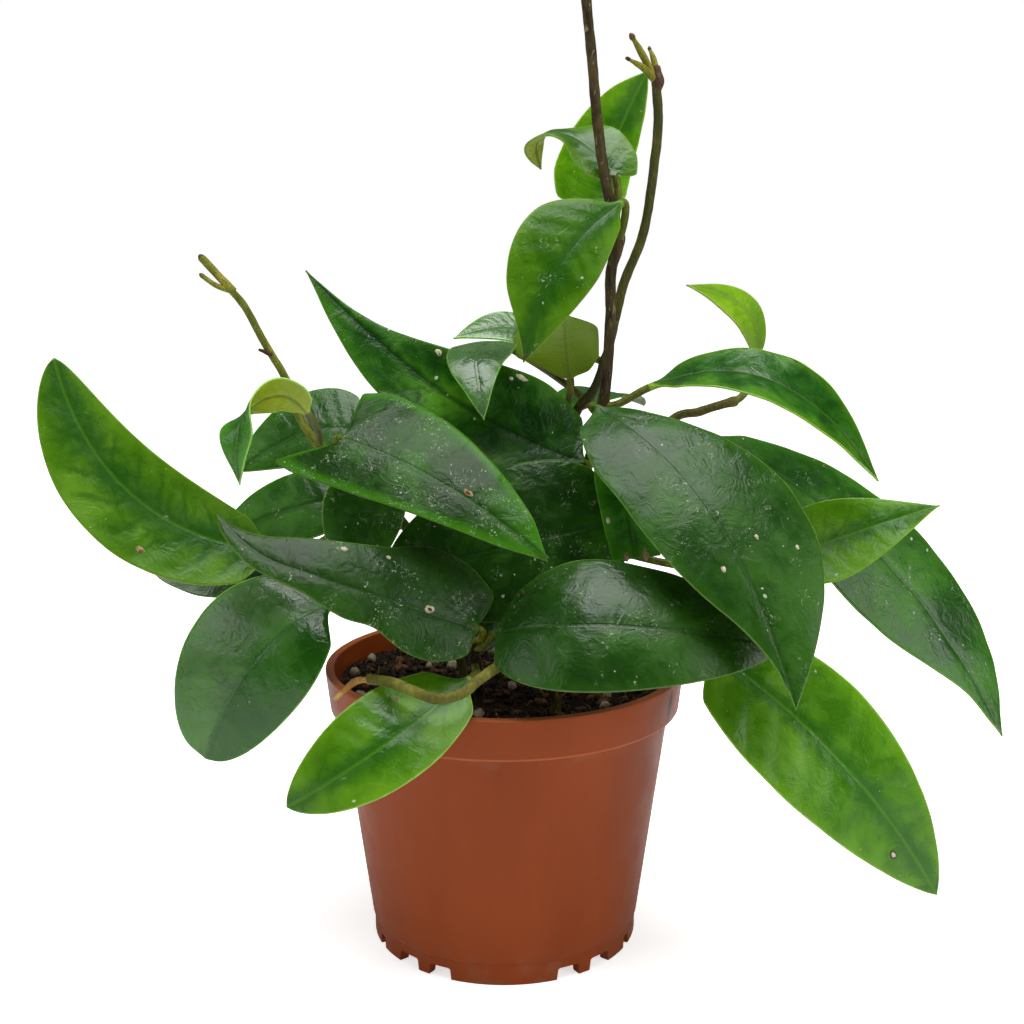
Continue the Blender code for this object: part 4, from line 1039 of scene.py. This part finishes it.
def sectionPoint(leaf, row, across, upper):
    centre, follow, side, normal, share, left, right = row
    roundness = math.radians(80) * across
    outward = side * math.sin(roundness) + normal * upper * math.cos(roundness)
    stalk = centre + outward * leafDetail["stalk"]
    if share <= 0:
        return stalk, 0.0
    blend = eased(min(share / leaf["neck"], 1.0))
    half, width, heart, sign = leaf["half"][0], left, leaf["heart"][0], -1
    if across > 0:
        half, width, heart, sign = leaf["half"][1], right, leaf["heart"][1], 1
    bend = math.radians(leaf["cup"]) * width / half
    turn = bend * abs(across)
    outward = width / bend * math.sin(turn)
    lift = width / bend * (1 - math.cos(turn))
    sweep = heart * abs(across) ** 1.5 * (1 - share) ** 3
    thick = leafDetail["thick"] + (leafDetail["margin"] - leafDetail["thick"]) * across ** 4
    thick *= 0.6 + 0.4 * min((1 - share) / 0.1, 1.0)
    outwardNormal = normal * math.cos(turn) - side * sign * math.sin(turn)
    blade = centre + side * sign * outward + normal * lift - follow * sweep
    # Relief: quilting between the veins, soft lumps and a ruffled edge, then a groove over the midrib
    # and a keel under it.
    fromRib = abs(across) * width
    edge = min((1 - abs(across)) * width / 4.0, 1.0) * min((1 - share) * 12, 1.0)
    phase = leafDetail["veins"] * share - leafDetail["slant"] * abs(across) ** 0.8 * (1 - 0.4 * share)
    relief = leaf["quilt"] * math.cos(math.tau * phase) * edge * min(fromRib / 3.0, 1.0)
    relief += leafDetail["lumps"] * noise.noise(blade * leafDetail["lumpScale"] + Vector((0, 7, 0)))
    relief += leafDetail["ruffle"] * across * across * noise.noise(blade * leafDetail["ruffleScale"])
    body = thick / 2
    if upper > 0:
        groove = leafDetail["groove"] * math.exp(-(fromRib / leafDetail["grooveWidth"]) ** 2)
        body -= groove * min((1 - share) * 4, 1.0)
    else:
        body += leafDetail["keel"] * math.exp(-(fromRib / leafDetail["keelWidth"]) ** 2) * (1 - share)
    blade += outwardNormal * (upper * body + relief)
    return stalk.lerp(blade, blend), width * (1 - abs(across)) * blend


def makeLeafMesh(leaf):
    rows = leafRows(leaf)
    columns = leafDetail["columns"]
    around = 2 * columns + 2
    bm = bmesh.new()
    bmesh.ops.create_grid(bm, x_segments=len(rows) - 1, y_segments=around, size=0.5)
    layers = {name: bm.verts.layers.float.new(name)
              for name in ("across", "along", "fromRib", "fromRim", "top")}
    length = sum((after.centre - before.centre).length for before, after in zip(rows, rows[1:])
                 if before.share >= 0)
    for vert in bm.verts:
        row = rows[round((vert.co.x + 0.5) * (len(rows) - 1))]
        ring = round((vert.co.y + 0.5) * around) % around
        upper = 1 if ring <= columns else -1
        column = ring if upper > 0 else around - 1 - ring
        across = 2 * column / columns - 1
        # Columns crowd towards the margins, where the edge rounds off.
        across = math.copysign(1 - (1 - abs(across)) ** leafDetail["crowding"], across)
        spot, rim = sectionPoint(leaf, row, across, upper)
        vert.co = spot * mm
        vert[layers["across"]] = across
        vert[layers["along"]] = row.share
        vert[layers["fromRib"]] = abs(across) * (row.right if across > 0 else row.left)
        vert[layers["fromRim"]] = min(rim, (1 - row.share) * length) if row.share > 0 else 9.0
        vert[layers["top"]] = 1.0 if upper > 0 else 0.0
    return closeShape(bm)


def makeVeinGroup():
    # Masks of one blade: midrib, side veins and rim, with the relief of its waxy skin.
    inputs = dict.fromkeys(("Across", "Along", "From Rib", "From Rim", "Veins", "Slant"), "Float")
    outputs = dict.fromkeys(("Midrib", "Side Veins", "Rim", "Swirl", "Height"), "Float")
    tree, given, result = newGroup("bladePattern", {**inputs, "Position": "Vector"}, outputs)
    position = given["Position"]
    wander = clouds(tree, position, 90.0, 3.0)
    midrib = fade(tree, given["From Rib"], 0.7, 0.2)
    spread = calc(tree, "POWER", calc(tree, "ABSOLUTE", given["Across"]), 0.8)
    phase = calc(tree, "SUBTRACT", times(tree, given["Along"], given["Veins"]),
                 times(tree, spread, given["Slant"]))
    wave = calc(tree, "PINGPONG", plus(tree, phase, times(tree, wander, 1.3)), 0.5)
    sideVeins = times(tree, fade(tree, wave, 0.20, 0.0), fade(tree, given["From Rim"], 1.0, 7.0))
    ragged = times(tree, clouds(tree, position, 260.0, 2.0), 0.5)
    rim = fade(tree, plus(tree, given["From Rim"], ragged), 0.8, 0.35)
    # Fine whorls, like those of a fingertip, over softer dimples.
    swirl = clouds(tree, position, 150.0, 2.0, 2.6, 0.5)
    height = plus(tree, swirl, times(tree, clouds(tree, position, 760.0, 3.0, 1.2), 0.28))
    height = plus(tree, height, times(tree, sideVeins, -0.09))
    height = plus(tree, height, times(tree, midrib, -0.3))
    fill(tree, result, {"Midrib": midrib, "Side Veins": sideVeins, "Rim": rim, "Swirl": swirl,
                        "Height": height})
    return tree


def makeWearGroup():
    # Lime specks of uneven shape in loose clusters, pinprick dots, and short curling scratches.
    inputs = {"Position": "Vector", "Specks": "Float", "Scratches": "Float"}
    tree, given, result = newGroup("leafWear", inputs, {"Mask": "Float"})
    position = given["Position"]
    warp = put(tree, "TexNoise", {"Vector": position, "Scale": 900.0, "Detail": 2.0}).outputs["Color"]
    shifted = vectorCalc(tree, "MULTIPLY_ADD", warp, (0.0011, 0.0011, 0.0011), position)
    cluster = fade(tree, clouds(tree, position, 55.0, 2.0), 0.42, 0.66, 0.15, 1.0)
    marks = []
    # Two sizes of speck: cells to the metre, share of them marked, and reach in a cell.
    for scale, share, reach in ((330.0, 0.16, 0.17), (800.0, 0.11, 0.2)):
        cells = put(tree, "TexVoronoi", {"Vector": shifted, "Scale": scale}).outputs
        chosen = put(tree, "SeparateColor", {"Color": cells["Color"]}).outputs
        size = times(tree, calc(tree, "POWER", chosen["Green"], 4.0), reach)
        speck = fade(tree, calc(tree, "SUBTRACT", cells["Distance"], size), 0.075, 0.03)
        amount = times(tree, times(tree, given["Specks"], share), cluster)
        marks.append(times(tree, speck, calc(tree, "LESS_THAN", chosen["Red"], amount)))
    curls = clouds(tree, position, 280.0, 1.0, 3.0)
    line = fade(tree, calc(tree, "ABSOLUTE", calc(tree, "SUBTRACT", curls, 0.5)), 0.015, 0.004)
    where = calc(tree, "SUBTRACT", 0.72, times(tree, given["Scratches"], 0.14))
    where = fade(tree, clouds(tree, position, 120.0, 2.0), where, plus(tree, where, 0.04))
    broken = fade(tree, clouds(tree, position, 900.0, 2.0), 0.46, 0.56)
    scratches = times(tree, times(tree, line, where), broken)
    marks = calc(tree, "MAXIMUM", *marks)
    fill(tree, result, {"Mask": calc(tree, "MAXIMUM", marks, scratches)})
    return tree


bladePattern = makeVeinGroup()
leafWear = makeWearGroup()

# Finishes of the blades. Zone is the darker strip along the midrib, glow the brighter young tip and
# margins, the margins partly painted light shining through, bloom the greyish wax with a painted sheen,
# rim the pale margin line with a painted highlight, rough the sheen between its clear and its cloudy
# places.
finishes = {
    "fresh": {
        "colour": (0.055, 0.175, 0.001), "deep": (0.024, 0.098, 0.001), "bright": (0.105, 0.260, 0.002),
        "under": (0.16, 0.28, 0.006), "zoneTone": (0.014, 0.085, 0.004), "rim": (0.18, 0.36, 0.02),
        "zone": 5.0, "bloom": 0.02, "specks": 0.6, "scratches": 0.4, "veins": 0.4, "glow": 0.45,
        "rough": (0.24, 0.40), "gloss": 0.22},
    "deep": {
        "colour": (0.010, 0.07, 0.0005), "deep": (0.003, 0.03, 0.0005), "bright": (0.036, 0.15, 0.001),
        "under": (0.09, 0.19, 0.006), "zoneTone": (0.003, 0.026, 0.001), "rim": (0.06, 0.19, 0.008),
        "zone": 1.6, "bloom": 0.02, "specks": 0.4, "scratches": 0.3, "veins": 0.3, "glow": 0.3,
        "rough": (0.22, 0.38), "gloss": 0.22},
    "waxy": {
        "colour": (0.013, 0.064, 0.002), "deep": (0.005, 0.032, 0.0015),
        "bright": (0.026, 0.108, 0.002),
        "under": (0.09, 0.19, 0.01), "zoneTone": (0.006, 0.032, 0.003), "rim": (0.13, 0.26, 0.04),
        "zone": 1.4, "bloom": 0.05, "specks": 1.0, "scratches": 1.0, "veins": 0.12, "glow": 0.35,
        "rough": (0.20, 0.36), "gloss": 0.28},
    "pale": {
        "colour": (0.12, 0.28, 0.004), "deep": (0.05, 0.15, 0.002), "bright": (0.21, 0.39, 0.008),
        "under": (0.14, 0.25, 0.004), "zoneTone": (0.11, 0.23, 0.006), "rim": (0.33, 0.45, 0.08),
        "zone": 1.5, "bloom": 0.03, "specks": 0.3, "scratches": 0.2, "veins": 0.3, "glow": 0.3,
        "rough": (0.28, 0.44), "gloss": 0.2},
}
# What every finish shares unless a leaf says otherwise; both halves take the bloom and painted sheen,
# and neither takes the painted shade.
commonLook = {
    "shade": 1.0, "patches": 0.8, "glowFrom": 0.72, "zoneShare": 0.8, "ribLine": 0.3, "rimShare": 0.7,
    "darkSide": (-3.0, -2.0), "darkShare": 0.75, "bloomSide": (-3.0, -2.0), "underVeins": 0.3,
}
sharedTones = {"stalk": (0.075, 0.085, 0.009), "stalkLight": (0.13, 0.15, 0.012),
               "bloom": (0.10, 0.16, 0.075), "lime": (0.42, 0.48, 0.34)}


def makeLeafFinish(name, look):
    # Shade scales each leaf's tones: partly its own tone, partly painted light and shade for how much
    # light reaches it where it stands.
    look = {**look, **{tone: tuple(part * look["shade"] for part in look[tone])
                       for tone in ("colour", "deep", "bright", "zoneTone", "under", "rim")}}
    material, tree, shader = newFinish(name, {"Specular IOR Level": look["gloss"]})
    position = objectPosition(tree)
    across, along, fromRib, fromRim, top = (
        ownValue(tree, part) for part in ("across", "along", "fromRib", "fromRim", "top"))
    pattern = useGroup(tree, bladePattern, {
        "Across": across, "Along": along, "From Rib": fromRib, "From Rim": fromRim,
        "Position": position, "Veins": leafDetail["veins"], "Slant": leafDetail["slant"]})
    wear = useGroup(tree, leafWear, {
        "Position": position, "Specks": look["specks"], "Scratches": look["scratches"]})["Mask"]
    broad = clouds(tree, position, 42.0, 3.0, 0.5)
    patchy = clouds(tree, position, 130.0, 4.0, 0.8, 0.6)
    tone = plus(tree, times(tree, broad, 0.7), times(tree, patchy, 0.3))
    dark = times(tree, fade(tree, tone, 0.53, 0.36), look["patches"])
    light = times(tree, fade(tree, tone, 0.48, 0.66), look["patches"])
    colour = blendColour(tree, dark, look["colour"], look["deep"])
    colour = blendColour(tree, light, colour, look["bright"])
    # Brighter towards the tip as young growth; towards the margins the brightening is painted light
    # shining through the thin edge.
    glow = fade(tree, along, look["glowFrom"], 1.0)
    glow = calc(tree, "MAXIMUM", glow, fade(tree, fromRim, 4.5, 0.5))
    colour = blendColour(tree, times(tree, glow, look["glow"]), colour, look["bright"])
    colour = blendColour(tree, times(tree, pattern["Side Veins"], look["veins"]), colour, look["deep"])
    uneven = times(tree, patchy, look["zone"] * 1.4)
    zone = fade(tree, plus(tree, fromRib, uneven), look["zone"] * 1.9, look["zone"] * 0.8)
    colour = blendColour(tree, times(tree, zone, look["zoneShare"]), colour, look["zoneTone"])
    colour = blendColour(tree, times(tree, pattern["Midrib"], look["ribLine"]), colour, look["bright"])
    # Painted shade: one half can lie darker than the other, parted by the midrib, as the half turned
    # away from the light.
    shaded = fade(tree, across, *look["darkSide"], 1.0, 0.0)
    colour = blendColour(tree, times(tree, shaded, look["darkShare"]), colour, look["deep"])
    # Partly the greyish wax bloom and partly a painted sheen, laid in soft whorls on one half or on
    # both; where one half takes it, that is the half turned to the light.
    bloomAndSheenWhorls = fade(tree, pattern["Swirl"], 0.3, 0.62, 0.3, 1.0)
    bloomAndSheenWhorls = times(tree, bloomAndSheenWhorls, fade(tree, across, *look["bloomSide"]))
    bloom = times(tree, times(tree, bloomAndSheenWhorls, look["bloom"]), top)
    colour = blendColour(tree, bloom, colour, sharedTones["bloom"])
    under = blendColour(tree, fade(tree, tone, 0.35, 0.65, 0.1, 0.45), look["under"], look["colour"])
    veins = times(tree, pattern["Side Veins"], look["underVeins"])
    under = blendColour(tree, veins, under, look["deep"])
    under = blendColour(tree, times(tree, pattern["Midrib"], 0.6), under, sharedTones["stalk"])
    colour = blendColour(tree, top, under, colour)
    # A thin pale line along the margin: partly the leaf's pale edge, partly a painted highlight on it.
    colour = blendColour(tree, times(tree, pattern["Rim"], look["rimShare"]), colour, look["rim"])
    colour = blendColour(tree, times(tree, wear, times(tree, top, 0.8)), colour, sharedTones["lime"])
    stalk = fade(tree, patchy, 0.4, 0.6)
    stalk = blendColour(tree, stalk, sharedTones["stalk"], sharedTones["stalkLight"])
    petiole = times(tree, fade(tree, along, 0.03, -0.03), fade(tree, fromRib, 4.0, 1.0))
    colour = blendColour(tree, petiole, colour, stalk)
    # Smooth and cloudy places in the sheen; lime and the underside are duller.
    rough = plus(tree, times(tree, broad, 0.5), times(tree, patchy, 0.5))
    rough = fade(tree, rough, 0.38, 0.62, *look["rough"])
    rough = plus(tree, rough, times(tree, wear, 0.3))
    rough = plus(tree, rough, times(tree, calc(tree, "SUBTRACT", 1.0, top), 0.15))
    fill(tree, shader, {"Base Color": colour, "Roughness": rough})
    addBump(tree, shader, pattern["Height"], 0.4)
    return material


# Corky scars, lime crusts and dried scraps: leaf, share along, place across, half lengths, kind.
scars = [
    ("leaf_far_left", 0.39, -0.7, (1.6, 0.9), "cork"),
    ("leaf_front_hooked", 0.14, 0.05, (1.5, 1.2), "lime"),
    ("leaf_front_hooked", 0.14, 0.05, (0.8, 0.5), "speck"),
    ("leaf_front_hooked", 0.45, 0.8, (1.1, 0.8), "lime"),
    ("leaf_front_hooked", 0.31, 0.75, (0.8, 0.6), "lime"),
    ("leaf_centre", 0.59, -0.1, (1.9, 0.9), "cork"), ("leaf_centre", 0.59, -0.1, (1.0, 0.4), "speck"),
    ("leaf_upper_left", 0.58, 0.8, (1.3, 0.9), "lime"),
    ("leaf_upper_left", 0.31, 0.9, (2.2, 0.9), "lime"),
    ("leaf_upper_left", 0.34, 0.82, (0.8, 0.6), "lime"),
    ("leaf_big_front", 0.65, 0.35, (1.0, 0.7), "lime"),
    ("leaf_big_front", 0.61, -0.3, (0.9, 0.6), "lime"),
    ("leaf_big_front", 0.67, -0.7, (0.8, 0.6), "lime"),
    ("leaf_front_oval", 0.1, -0.75, (1.0, 0.5), "brown"), ("leaf_torn", 0.65, 0.8, (1.0, 0.7), "lime"),
    ("leaf_torn", 0.97, -0.4, (2.2, 1.0), "cork"), ("leaf_torn", 0.97, 0.4, (1.8, 0.9), "cork"),
    ("leaf_low_right", 0.81, 0.45, (1.5, 1.1), "brown"),
    ("leaf_low_right", 0.81, 0.45, (1.1, 0.7), "hole"),
    ("leaf_upper_front", 0.97, 0.0, (1.1, 0.5), "brown"),
    ("leaf_over_rim", 0.3, 0.6, (0.8, 0.5), "cork"),
]
# Height above the blade tells the crusts apart where one sits in the middle of another.
scarHeights = {"cork": 0.3, "lime": 0.22, "brown": 0.2, "speck": 0.5, "hole": 0.45}
scarTones = {"speck": ((0.03, 0.014, 0.006), (0.08, 0.035, 0.015)),
             "hole": ((0.55, 0.52, 0.40), (0.72, 0.70, 0.60)),
             "cork": ((0.16, 0.10, 0.04), (0.36, 0.27, 0.14)),
             "lime": ((0.30, 0.28, 0.16), (0.55, 0.52, 0.38)),
             "brown": ((0.035, 0.018, 0.008), (0.12, 0.06, 0.025))}


def growScar(bm, leaf, share, across, reach, height):
    # A low uneven crust that follows the blade's upper side.
    rows = leafRows(leaf)
    row = min(rows, key=lambda candidate: abs(candidate.share - share))
    spot = sectionPoint(leaf, row, across, 1)[0]
    inward = -0.05 if across > 0 else 0.05
    beside = sectionPoint(leaf, row, across + inward, 1)[0]
    side = (beside - spot).normalized()
    normal = row.follow.cross(side).normalized()
    if normal.dot(row.normal) < 0:
        normal = -normal
    shape = bmesh.ops.create_icosphere(bm, subdivisions=2, radius=1.0)["verts"]
    for vert in shape:
        ragged = 1.0 + 0.45 * noise.noise(vert.co * 2.1 + spot * 0.3)
        place = row.follow * vert.co.x * reach[0] * ragged + side * vert.co.y * reach[1] * ragged
        vert.co = (spot + place + normal * vert.co.z * height * ragged) * mm


for tone, (dark, light) in scarTones.items():
    bm = bmesh.new()
    for name, share, across, reach, kind in scars:
        if kind == tone:
            growScar(bm, leaves[name], share, across, reach, scarHeights[tone])
    finish = makeCrumblyFinish(tone + "Scar", dark, light, 900.0, 0.8, (0.35, 0.6))
    addPiece("leafScars" + tone.capitalize(), bm, finish)
print("scars made")


for name, leaf in leaves.items():
    look = {**commonLook, **finishes[leaf["finish"]], **leaf.get("look", {})}
    finish = makeLeafFinish(name.replace("_", " ") + " finish", look)
    addPiece(name.replace("_", "") + "Blade", makeLeafMesh(leaf), finish, [name])
print("leaves made")


# Studio: pale floor and backdrop, a broad soft light above and left, a weaker one in front.
studio = {"floor": (0.8, 0.8, 0.8), "floorSize": 4.0, "glow": (0.66, 1.0), "glowReach": (0.03, 0.26),
          "lit": (0.03, 0.34), "mirrored": (0.01, 0.14), "floorMirror": 0.12, "floorShare": 0.36}
lamps = {
    "overhead": {"place": (0.05, -0.15, 1.25), "aim": (0, 0, 0.15), "size": 0.9, "power": 18.5},
    "leftSoftbox": {"place": (-1.3, -0.6, 0.8), "aim": (0, 0, 0.15), "size": 0.9, "power": 4.5},
    "rightSoftbox": {"place": (1.3, -0.6, 0.7), "aim": (0, 0, 0.12), "size": 0.8, "power": 7.0},
    "frontFill": {"place": (0.1, -1.8, 0.9), "aim": (0, 0, 0.1), "size": 1.2, "power": 2.0,
                  "mirrored": False},
}


def makeFloor():
    bm = bmesh.new()
    bmesh.ops.create_grid(bm, x_segments=1, y_segments=1, size=studio["floorSize"])
    floor = newObject("paleFloor", toMesh("paleFloor", bm))
    material, tree, shader = newFinish("paleFloor", {
        "Base Color": studio["floor"], "Roughness": 0.9, "Specular IOR Level": 0.1,
        "Emission Strength": 1.0})
    # The floor glows more away from the pot, so that it meets the white backdrop without an edge.
    distance = vectorCalc(tree, "LENGTH", objectPosition(tree))
    glow = fade(tree, distance, *studio["glowReach"], *studio["glow"])
    # In the waxy leaves the floor shows only faintly.
    path = put(tree, "LightPath", {}).outputs
    glow = times(tree, glow, fade(tree, path["Is Glossy Ray"], 0.0, 1.0, 1.0, studio["floorMirror"]))
    glow = times(tree, glow, fade(tree, path["Is Camera Ray"], 0.0, 1.0, studio["floorShare"], 1.0))
    white = put(tree, "CombineColor", {"Red": glow, "Green": glow, "Blue": glow}).outputs[0]
    fill(tree, shader, {"Emission Color": white})
    floor.data.materials.append(material)


def makeLamp(name, lamp):
    light = bpy.data.lights.new(name, "AREA")
    light.shape = "SQUARE"
    light.size = lamp["size"]
    light.energy = lamp["power"]
    item = newObject(name, light)
    item.visible_glossy = lamp.get("mirrored", True)
    item.location = lamp["place"]
    aim = Vector(lamp["aim"]) - Vector(lamp["place"])
    item.rotation_euler = aim.to_track_quat("-Z", "Y").to_euler()


def makeWorld():
    # Bright behind the plant, dim on the viewer's side, as in a white studio; plain white to look at.
    world = bpy.data.worlds.new("whiteStudio")
    scene.world = world
    world.use_nodes = True
    tree = world.node_tree
    tree.nodes.clear()
    direction = put(tree, "TexCoord", {}).outputs["Generated"]
    depth = put(tree, "SeparateXYZ", {"Vector": direction}).outputs["Y"]
    path = put(tree, "LightPath", {}).outputs
    lit = fade(tree, depth, -0.6, 0.8, *studio["lit"])
    mirrored = fade(tree, depth, -0.2, 0.9, *studio["mirrored"])
    strength = put(tree, "Mix", {0: path["Is Glossy Ray"], 2: lit, 3: mirrored}, data_type="FLOAT")
    white = {"Color": (1.0, 1.0, 1.0)}
    seen = put(tree, "Background", {**white, "Strength": 1.0})
    around = put(tree, "Background", {**white, "Strength": strength.outputs[0]})
    mix = put(tree, "MixShader", {0: path["Is Camera Ray"], 1: around.outputs[0], 2: seen.outputs[0]})
    put(tree, "OutputWorld", {"Surface": mix.outputs[0]})


def makeCamera():
    lens = bpy.data.cameras.new("camera")
    lens.lens = 50
    lens.sensor_width = 36
    camera = newObject("camera", lens)
    camera.location = (0.0025, -0.461, 0.2365)
    camera.rotation_euler = (math.radians(90 - 11.2), 0, 0)
    scene.camera = camera


makeFloor()
for name, lamp in lamps.items():
    makeLamp(name, lamp)
makeWorld()
makeCamera()
scene.view_settings.view_transform = "Standard"
print("studio made")
